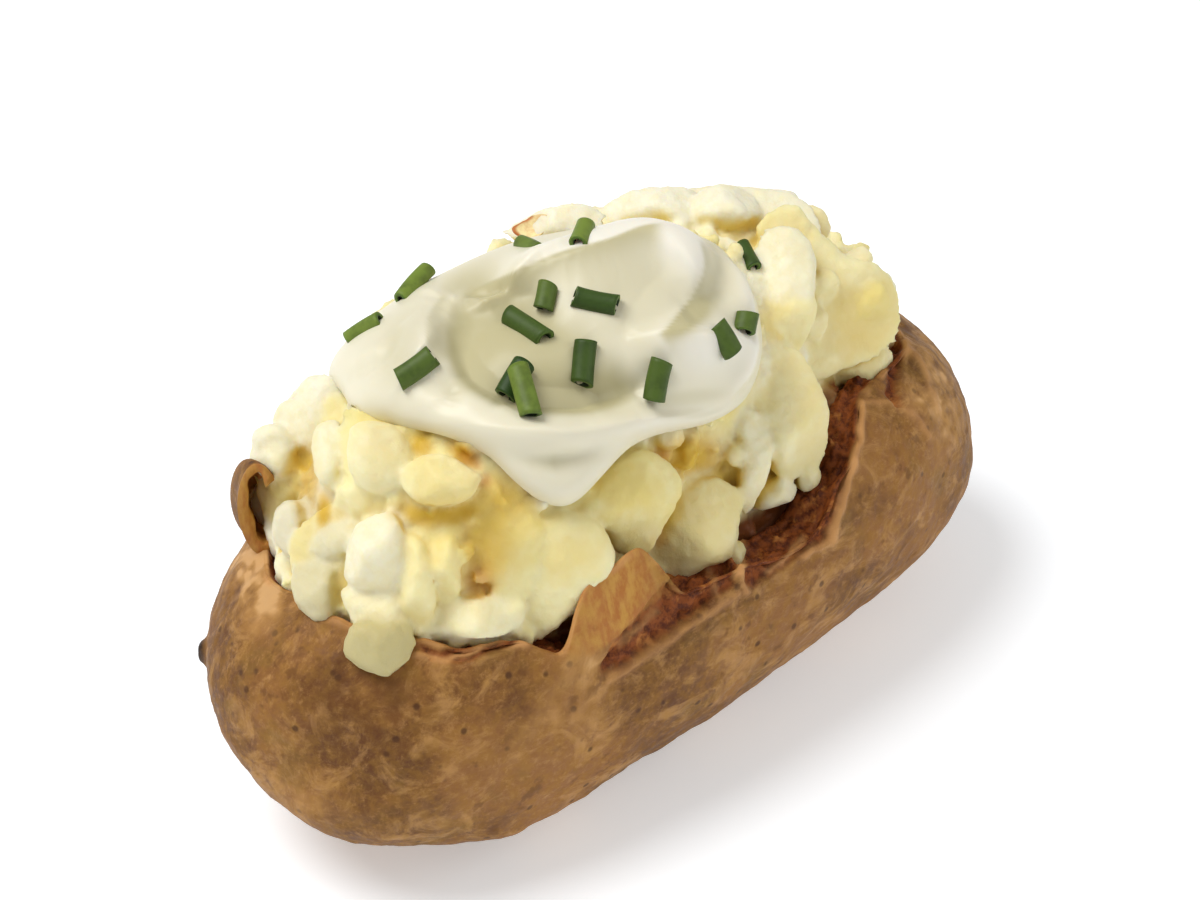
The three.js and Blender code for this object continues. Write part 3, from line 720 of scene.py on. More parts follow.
def makeJacket(material):
    shape = jacketShape
    around, rows, inside = jacketRows()
    poles = np.array([tuber(0.0, 0.0), cavity(np.array(0.0), np.array(0.0), 0)])
    points = np.concatenate([np.array(rows).reshape(-1, 3), poles])
    faces = wrapFaces(len(rows), shape["columns"])
    outer = np.append(1 - inside.reshape(-1), [1, 0])
    turned = np.broadcast_to(np.degrees(around), (len(rows), len(around))).reshape(-1)
    turned = np.append(turned, [0, 0])
    share = outsideShares
    level = np.append(np.repeat(np.append(share, np.ones(len(rows) - len(share))), shape["columns"]), [0, 1])
    lipUp = np.append(np.tile(np.degrees(lipAngle(around)), len(rows)), [120, 120])
    nub = shape["nub"]
    nubHeight = np.exp(-np.abs((turned - nub["around"]) / nub["wide"]) ** 4
                       - np.abs((level * lipUp - nub["up"]) / nub["tall"]) ** 4) * outer
    plain = meshOf("plainJacket", points, faces)
    normals = normalsOf(plain.data)
    bpy.data.objects.remove(plain)
    relief = sum(height * clouds(points, size, seed=20 + i)
                 for i, (size, height) in enumerate(shape["relief"]))
    standing = outer * smooth(points[:, 2], 0.4, 6) * (1 - 0.6 * smooth(level, 0.985, 1))
    moved = points + normals * (relief * standing + nub["height"] * nubHeight)[:, None]
    tornAway, ridge = tearsOn(moved, normals)
    tornEdge = tornAway * (1 - outer)
    tornAway = tornAway * outer
    craggy = 0.7 + 0.6 * clouds(points, 2.4, seed=84)
    moved = moved - normals * (tearShape["deep"] * tornAway * craggy - tearShape["ridge"] * ridge)[:, None]
    least, most = (np.array(corner) / mm + origin for corner in cadBox)
    clear = shape["clear"]
    low = [least[0] + clear, least[1] + clear, 0]
    high = [most[0] - clear, most[1] - clear, most[2]]
    moved = np.clip(moved, low, high)
    rim = lipPoint(around)
    toRim = np.linalg.norm(moved[:-2].reshape(len(rows), -1, 3) - rim, axis=-1).reshape(-1)
    toRim = np.append(toRim, [99, 99])
    bare = tuber(around, lipAngle(around))[:, 2]
    overLip = np.append((moved[:-2, 2].reshape(len(rows), -1) - bare).reshape(-1), [0, 0])
    nearFlap = bump(np.radians(turned), math.radians(strip["around"]), math.radians(9))
    flap = smooth(overLip, 0.2, 1.6) * nearFlap
    values = dict(
        torn=np.maximum((1 - outer) * np.maximum(smooth(toRim, 0.3, 1.2), tornEdge),
                        tornAway * (1 - flap)) * (1 - 0.8 * ridge),
        edge=0.8 * (1 - smooth(toRim, 0.25, 1.1)) * smooth(cloud(points, 5.0, seed=41), -0.25, 0.35)
        * (1 - np.maximum(tornAway, tornEdge)) + 0.7 * ridge,
        shade=shadeOn(moved, normals),
        flap=flap,
        nub=np.clip(nubHeight * 1.5, 0, 1),
    )
    rolled, rolledFaces, inner, rim = rolledStrip()
    rolledFaces = [[i + len(moved) for i in face] for face in rolledFaces]
    more = dict(torn=0 * inner, edge=0 * inner, shade=0 * inner - 0.3, flap=np.maximum(inner, 0.75 * rim),
                nub=0 * inner)
    values = {key: np.concatenate([value, more[key]]) for key, value in values.items()}
    piece = meshOf("bakedJacket", np.concatenate([moved, rolled]), [*faces, *rolledFaces], values)
    piece.data.materials.append(material)
    return piece


jacket = makeJacket(skinFinish())
print("jacket", len(jacket.data.polygons), "faces")


# The heap of fluffed flesh: a core, slabs and kernels of flesh on it, and crumbs between them. fall: mm that
# its top drops to the right; square: how square its sides are; seen: its middle, on a 1200 by 900 frame.
heap = dict(middle=(2, 0), top=75.5, fall=4.5, square=2.5, seen=(590, 420))


def heapHeight(x, share, footZ):
    top = heap["top"] - heap["fall"] * smooth(x, 5, 50)
    raised = (1 - np.minimum(share, 1) ** heap["square"]) ** (1 / heap["square"])
    return footZ + (top - footZ) * raised


def heapPoint(around, rise):
    foot = cavity(around, np.ones_like(around), lip["clearance"])
    share = np.maximum(np.cos(rise * math.pi / 2), 0) ** (2 / heap["square"])
    x = heap["middle"][0] + (foot[..., 0] - heap["middle"][0]) * share
    y = heap["middle"][1] + (foot[..., 1] - heap["middle"][1]) * share
    return np.stack([x, y, heapHeight(x, share, foot[..., 2])], -1)


footTurns = np.linspace(0, turn, 721)[:-1]
footRing = cavity(footTurns, np.ones_like(footTurns), lip["clearance"])
footAway = footRing[:, :2] - heap["middle"]
footHeading = np.arctan2(footAway[:, 1], footAway[:, 0]) % turn
footOrder = np.argsort(footHeading)


def atFoot(x, y, values):  # one of the values along the heap's foot, on the way out through a place in plan
    away = np.arctan2(y - heap["middle"][1], x - heap["middle"][0]) % turn
    return np.interp(away, footHeading[footOrder], values[footOrder], period=turn)


def heightOver(x, y):  # the bare heap's height over a place in plan
    reach, footZ = atFoot(x, y, np.hypot(*footAway.T)), atFoot(x, y, footRing[:, 2])
    return heapHeight(x, np.hypot(x - heap["middle"][0], y - heap["middle"][1]) / reach, footZ)


# The heap's core: faces, and mm that it is shrunk, towards a place that many mm up.
coreShape = dict(columns=180, deepRows=22, heapRows=44, shrunk=1.6, towards=45)


def coreGrid():
    shape = coreShape
    around = np.arange(shape["columns"]) / shape["columns"] * turn
    levels = np.linspace(0, 1, shape["deepRows"] + 1)[1:]
    rows = [cavity(around, t + 0 * around, lip["clearance"]) for t in levels]
    for rise in np.linspace(0, 1, shape["heapRows"] + 1)[1:-1]:
        point = heapPoint(around, rise + 0 * around)
        inward = np.array([*heap["middle"], shape["towards"]]) - point
        rows.append(point + unit(inward) * shape["shrunk"] * smooth(rise, 0, 0.15))
    top = heapPoint(np.array(0.0), np.array(1.0)) - [0, 0, shape["shrunk"]]
    poles = np.array([cavity(np.array(0.0), np.array(0.0), lip["clearance"]), top])
    return np.concatenate([np.array(rows).reshape(-1, 3), poles]), wrapFaces(len(rows), shape["columns"])


corePoints, coreFaces = coreGrid()


def treeOf(points, faces):
    return BVHTree.FromPolygons([Vector(p) for p in points], faces)


def sightOf(x, y):  # the way from the eye through a point of the frame
    x, y = np.asarray(x, float)[..., None], np.asarray(y, float)[..., None]
    across = rightWay * (x - view["width"] / 2) / focalPixels
    down = upWay * (y - view["height"] / 2) / focalPixels
    return -backWay + across - down


def seatOf(x, y, tree):  # where the sight line meets the heap or the jacket, or the nearest one that does
    for share in np.linspace(0, 0.6, 25):
        nearX, nearY = x + (heap["seen"][0] - x) * share, y + (heap["seen"][1] - y) * share
        way = sightOf(nearX, nearY)
        place, normal, _, _ = tree.ray_cast(Vector(eye), Vector(unit(way)))
        if place is not None:
            depth = -(np.array(place) - eye) @ backWay
            return eye + sightOf(x, y) * depth, np.array(normal)
    raise ValueError(f"nothing is seen near {x}, {y}")


# The sour cream: a spoonful that lies on the heap, with the folds that the spoon left. rim: how square its
# edge is; hub: what its rings are turned about, and middle: where their middle shows; coverShare: the part of
# its reach within which flesh above coverFrom is pressed down, to coverBelow under the bare heap.
cream = dict(
    thickness=4.6, sunk=1.2, thinnest=1.2, rim=5, columns=360, rings=120, underRings=24, hub=(-9, -3, 36),
    middle=(560, 352), borderLift=0.8, coverShare=0.965, coverFrom=40, coverBelow=0.3,
    # its border where it shows, on a 1200 by 900 frame, and round the back, in plan
    border=[(338, 388), (350, 408), (374, 418), (400, 424), (430, 430), (462, 441), (490, 456), (515, 480),
            (540, 500), (560, 507), (577, 500), (596, 479), (620, 453), (650, 436), (700, 425), (735, 408),
            (753, 385), (762, 350), (760, 318), (752, 292)],
    backBorder=[(21, -4), (17, 3), (12, 8), (5, 12), (-1, 16), (-9, 19), (-18, 21), (-27, 22), (-34, 20.5)],
)

# Strokes of the spoon. seen: points on a 1200 by 900 frame; heights: mm along the stroke; left and right:
# how far each side falls off, going along it; crest: radius of the top.
strokes = [
    dict(seen=[(452, 292), (482, 285), (530, 263), (578, 249), (612, 236), (640, 226), (660, 225), (678, 235),
               (692, 253), (697, 275), (688, 298), (668, 318), (648, 336)],
         heights=[0.5, 2.8, 4.8, 5.6, 5.2, 3.8, 1.0], left=7.0, right=5.0, crest=0.15, powers=(2.6, 0.95)),
    dict(seen=[(702, 240), (722, 236), (739, 244), (752, 263), (761, 287), (765, 315), (763, 345), (753, 376),
               (736, 402)], heights=[0.6, 2.8, 3.0, 2.0, 1.2], left=1.6, right=3.2, crest=0.4),
    dict(seen=[(640, 338), (668, 335), (700, 335), (735, 335), (752, 340)], heights=[0.8, 2.4, 1.8], left=0.8,
         right=6.0, crest=0.3),
    dict(seen=[(655, 411), (690, 410), (722, 402), (748, 388)], heights=[-0.6, -2.0, -1.2], left=1.2,
         right=0.9, crest=0.4),
    dict(seen=[(400, 408), (440, 414), (480, 422), (530, 428), (590, 429), (640, 421), (700, 416),
               (735, 402)], heights=[0.8, 1.8, 2.6, 2.6, 1.4], left=1.6, right=3.0, crest=0.3,
         powers=(1.0, 1.6)),
    dict(seen=[(530, 400), (580, 404), (628, 391)], heights=[-2.6, -4.0, -2.4], left=3.2, right=1.1,
         crest=0.8),
    dict(seen=[(498, 450), (550, 459), (606, 444)], heights=[-0.8, -2.0, -0.7], left=1.1, right=1.6,
         crest=0.5),
    dict(seen=[(505, 474), (532, 490), (560, 499), (584, 482), (606, 458)], heights=[0.5, 1.2, 0.6], left=1.6,
         right=2.5, crest=0.8),
    dict(seen=[(450, 312), (458, 345), (474, 378), (500, 396)], heights=[-3.0, -4.2, -3.8, -2.6], left=7.0,
         right=1.8, crest=1.0),
    dict(seen=[(466, 292), (485, 284), (512, 272), (545, 258), (585, 246)], heights=[0.8, 1.8, 1.8, 1.2, 0.4],
         left=3.0, right=1.0, crest=0.1, powers=(2.0, 1.0)),
    dict(seen=[(490, 300), (540, 322), (590, 350)], heights=[-2.8, -2.4, -1.0], left=4.5, right=4.5,
         crest=1.2),
    dict(seen=[(476, 290), (500, 293), (530, 292)], heights=[-1.0, -1.8, -0.8], left=0.8, right=1.6,
         crest=0.3),
    dict(seen=[(466, 287), (448, 284), (437, 303), (428, 332), (416, 356), (404, 376)],
         heights=[0.8, 3.2, 3.4, 1.6], left=1.8, right=4.5, crest=0.2, powers=(1.0, 2.0)),
    dict(seen=[(676, 316), (704, 300), (716, 268)], heights=[-2.8, -4.2, -2.4], left=2.2, right=2.4,
         crest=0.6),
    dict(seen=[(356, 352), (368, 348)], heights=[1.2, 1.2], left=2.2, right=2.2, crest=0.8),
    dict(seen=[(362, 392), (380, 400)], heights=[1.0, 1.0], left=2.0, right=2.0, crest=0.8),
    dict(seen=[(424, 382), (450, 392), (446, 404)], heights=[-0.8, -1.2, -0.6], left=1.2, right=1.2,
         crest=0.5),
    dict(seen=[(352, 372), (376, 368), (398, 352)], heights=[-0.6, -1.2, -0.8], left=1.4, right=1.4,
         crest=0.5),
]


def smoothPath(points, step=0.25, closed=False):  # points along a curve through the given ones
    given = np.asarray(points, float)
    if closed:
        ends = np.concatenate([given[-1:], given, given[:2]])
    else:
        ends = np.concatenate([[2 * given[0] - given[1]], given, [2 * given[-1] - given[-2]]])
    made = []
    for a, b, c, d in zip(ends, ends[1:], ends[2:], ends[3:]):
        for t in np.arange(0, 1, step):
            made.append(0.5 * (2 * b + (c - a) * t + (2 * a - 5 * b + 4 * c - d) * t**2
                               + (3 * b - a - 3 * c + d) * t**3))
    return np.array(made) if closed else np.array([*made, given[-1]])


def domeGrid(columns=240, rows=90):
    around = np.arange(columns) / columns * turn
    grid = [heapPoint(around, rise + 0 * around) for rise in np.linspace(0, 1, rows)[:-1]]
    poles = np.array([[*heap["middle"], 20], heapPoint(np.array(0.0), np.array(1.0))])
    return np.concatenate([np.concatenate(grid), poles]), wrapFaces(len(grid), columns)


dome = treeOf(*domeGrid())


def normalOver(places):  # the heap's normal near points of it, from its height round them
    x, y = places[..., 0], places[..., 1]
    slopeX = (heightOver(x + 1, y) - heightOver(x - 1, y)) / 2
    slopeY = (heightOver(x, y + 1) - heightOver(x, y - 1)) / 2
    return unit(np.stack([-slopeX, -slopeY, np.ones_like(slopeX)], -1))


def baseOf(seen, lift):  # the heap's point that, raised by the lift, shows at that point of the frame
    aim = np.array(seen, float)
    for _ in range(6):
        place, normal = seatOf(*aim, dome)
        raised = onFrame(place + normalOver(place) * lift)
        aim = aim + (np.array(seen) - raised) * 0.8
    return place


def strokeHeight(stroke, places, normals):
    path, heights = stroke["path"], stroke["along"]
    total = np.zeros(places.shape[:-1])
    for a, b, low, high in zip(path, path[1:], heights, heights[1:]):
        along = b - a
        t = np.clip(((places - a) @ along) / max(along @ along, 1e-9), 0, 1)
        off = places - a - t[..., None] * along
        apart = np.linalg.norm(off, axis=-1)
        side = (np.cross(along, off) * normals).sum(-1) / np.linalg.norm(along) / np.maximum(apart, 1e-6)
        onLeft = smooth(side, -0.6, 0.6)
        fall = stroke["right"] + (stroke["left"] - stroke["right"]) * onLeft
        leftPower, rightPower = stroke.get("powers", (1.35, 1.35))
        power = rightPower + (leftPower - rightPower) * onLeft
        away = np.sqrt(apart**2 + stroke["crest"] ** 2) - stroke["crest"]
        height = (low + (high - low) * t) * np.exp(-((away / fall) ** power))
        total = np.where(np.abs(height) > np.abs(total), height, total)
    return total


def prepareStrokes():
    for stroke in strokes:
        seen = smoothPath(stroke["seen"], step=0.34)
        stations = np.linspace(0, 1, len(stroke["heights"]))
        heights = np.interp(np.linspace(0, 1, len(seen)), stations, stroke["heights"])
        stroke["path"] = np.array([baseOf(s, cream["thickness"] + h) for s, h in zip(seen, heights)])
        stroke["along"] = heights


creamForm = {}


def creamGrid():
    # its base on the heap, in rings about the middle out to the border, with smooth normals
    hub = np.array(cream["hub"], float)
    axis = unit(baseOf(cream["middle"], cream["thickness"]) - hub)
    side = unit(np.cross(axis, [0, 1, 0]))
    other = np.cross(axis, side)
    backPoints = [(x, y, float(heightOver(x, y))) for x, y in cream["backBorder"]]
    border = np.array([baseOf(p, cream["borderLift"]) for p in cream["border"]] + backPoints)
    ways = unit(border - hub)
    flat = np.stack([ways @ side, ways @ other], -1)
    flat *= (np.arccos(np.clip(ways @ axis, -1, 1)) / np.hypot(*flat.T))[:, None]
    curve = smoothPath(flat, closed=True)
    angles = np.arctan2(curve[:, 1], curve[:, 0]) % turn
    order = np.argsort(angles)
    theta = np.arange(cream["columns"]) / cream["columns"] * turn
    reach = np.interp(theta, angles[order], np.hypot(*curve.T)[order], period=turn)
    share = np.sin(np.linspace(0, 1, cream["rings"] + 1) * math.pi / 2)[1:]
    bend = share[:, None] * reach[None, :]
    turned = side * np.cos(theta)[:, None] + other * np.sin(theta)[:, None]
    ways = axis * np.cos(bend)[..., None] + turned[None] * np.sin(bend)[..., None]
    base = np.array([[dome.ray_cast(Vector(hub), Vector(w))[0] for w in row] for row in ways], float)
    middle = np.array(dome.ray_cast(Vector(hub), Vector(axis))[0])
    creamForm.update(hub=hub, axis=axis, side=side, other=other, theta=theta, reach=reach)
    return share, base, normalOver(base), middle


# Painted shade on the cream, yellower and darker: middle and half sizes on a 1200 by 900 frame, turned,
# strength.
creamShades = [
    ((500, 335), (56, 50), 10, 0.6), ((585, 404), (58, 14), 0, 0.4), ((560, 456), (50, 10), 0, 0.15),
    ((404, 345), (22, 40), 20, 0.45), ((640, 300), (56, 40), -20, 0.3), ((690, 398), (40, 8), -8, 0.4),
    ((692, 316), (30, 13), -38, 0.85),
]
# Painted shade on the faces below a fold, darkest along it: points along it, pixels across, strength; to the
# right of its way.
creamFolds = [
    ([(470, 291), (482, 285), (512, 272), (558, 252), (608, 238), (642, 225), (668, 222)], 36, 0.95),
    ([(698, 236), (704, 265), (694, 292), (672, 322), (655, 336)], 20, -0.75),
    ([(444, 292), (430, 312), (426, 340), (436, 368)], 18, -0.45),
    ([(660, 338), (700, 334), (738, 332)], 10, -0.35),
]


def foldShades(seen, facing):
    # below each fold the cream gets painted shade, crisply at the fold and fading away from it; a minus: on
    # its left
    total = np.zeros(len(seen))
    for line, wide, strength in creamFolds:
        path = smoothPath(line, step=0.2)
        least, beside, along = np.full(len(seen), 1e9), np.zeros(len(seen)), np.zeros(len(seen))
        for k, (a, b) in enumerate(zip(path, path[1:])):
            t = np.clip(((seen - a) @ (b - a)) / ((b - a) @ (b - a)), 0, 1)
            off = seen - a - t[:, None] * (b - a)
            apart = np.hypot(*off.T)
            side = ((b - a)[0] * (seen - a)[:, 1] - (b - a)[1] * (seen - a)[:, 0]) / np.hypot(*(b - a))
            nearer = apart < least
            beside = np.where(nearer, side, beside)
            along = np.where(nearer, (k + t) / (len(path) - 1), along)
            least = np.minimum(least, apart)
        below = beside * np.sign(strength)
        ends = smooth(along, 0.0, 0.1) * smooth(1 - along, 0.0, 0.12)
        shade = smooth(below, -1.5, 2.5) * np.exp(-((np.maximum(below, 0) / wide) ** 1.6)) * ends
        shade = np.where(least > np.abs(beside) + 6, 0, shade)
        total = np.maximum(total, abs(strength) * shade * facing)
    return total


def creamCover(points):
    # points under the cream are drawn down to just below the bare heap, so the cream lies on them
    form = creamForm
    away = points - form["hub"]
    far = np.linalg.norm(away, axis=-1)
    ways = away / np.maximum(far, 1e-6)[:, None]
    theta = np.arctan2(ways @ form["other"], ways @ form["side"]) % turn
    reach = np.interp(theta, form["theta"], form["reach"], period=turn)
    share = np.arccos(np.clip(ways @ form["axis"], -1, 1)) / reach
    kept = points.copy()
    for i in np.nonzero((share < cream["coverShare"]) & (points[:, 2] > cream["coverFrom"]))[0]:
        place = dome.ray_cast(Vector(form["hub"]), Vector(ways[i]))[0]
        if place is not None:
            bare = np.linalg.norm(np.array(place) - form["hub"]) - cream["coverBelow"]
            kept[i] = form["hub"] + ways[i] * min(far[i], bare)
    return kept


def makeCream(material):
    prepareStrokes()
    share, base, normals, middle = creamGrid()
    places = np.concatenate([base.reshape(-1, 3), [middle]])
    ways = np.concatenate([normals.reshape(-1, 3), [normalOver(middle)]])
    lift = cream["thickness"] + sum(strokeHeight(stroke, places, ways) for stroke in strokes)
    lift = np.maximum(lift, cream["thinnest"])
    rim = (1 - share ** cream["rim"]) ** 0.5
    top = base + normals * (lift[:-1].reshape(base.shape[:2]) * rim[:, None])[..., None]
    step = cream["rings"] // cream["underRings"]
    under = base[::step] - normals[::step] * (cream["sunk"] * rim[::step, None, None])
    rows = np.concatenate([under[:-1], top[::-1]])
    poles = [middle - ways[-1] * cream["sunk"], middle + ways[-1] * lift[-1]]
    points = np.concatenate([rows.reshape(-1, 3), poles])
    folds = (lift[:-1] - cream["thickness"]).reshape(base.shape[:2])
    folds = np.concatenate([folds[::step][:-1], folds[::-1]])
    folds = np.append(folds.reshape(-1), [0, lift[-1] - cream["thickness"]])
    piece = meshOf("sourCream", points, wrapFaces(len(rows), cream["columns"]), dict(fold=folds))
    facing = smooth(normalsOf(piece.data) @ backWay, 0.0, 0.4)
    seen = onFrame(points)
    # painted shade below the folds and in the placed spots, on the side that faces the view
    paintedShade = np.clip(spotted(creamShades, seen, facing) + foldShades(seen, facing), 0, 1)
    piece.data.attributes.new("paintedShade", "FLOAT", "POINT").data.foreach_set("value", paintedShade.astype(np.float32))
    piece.data.materials.append(material)
    return piece
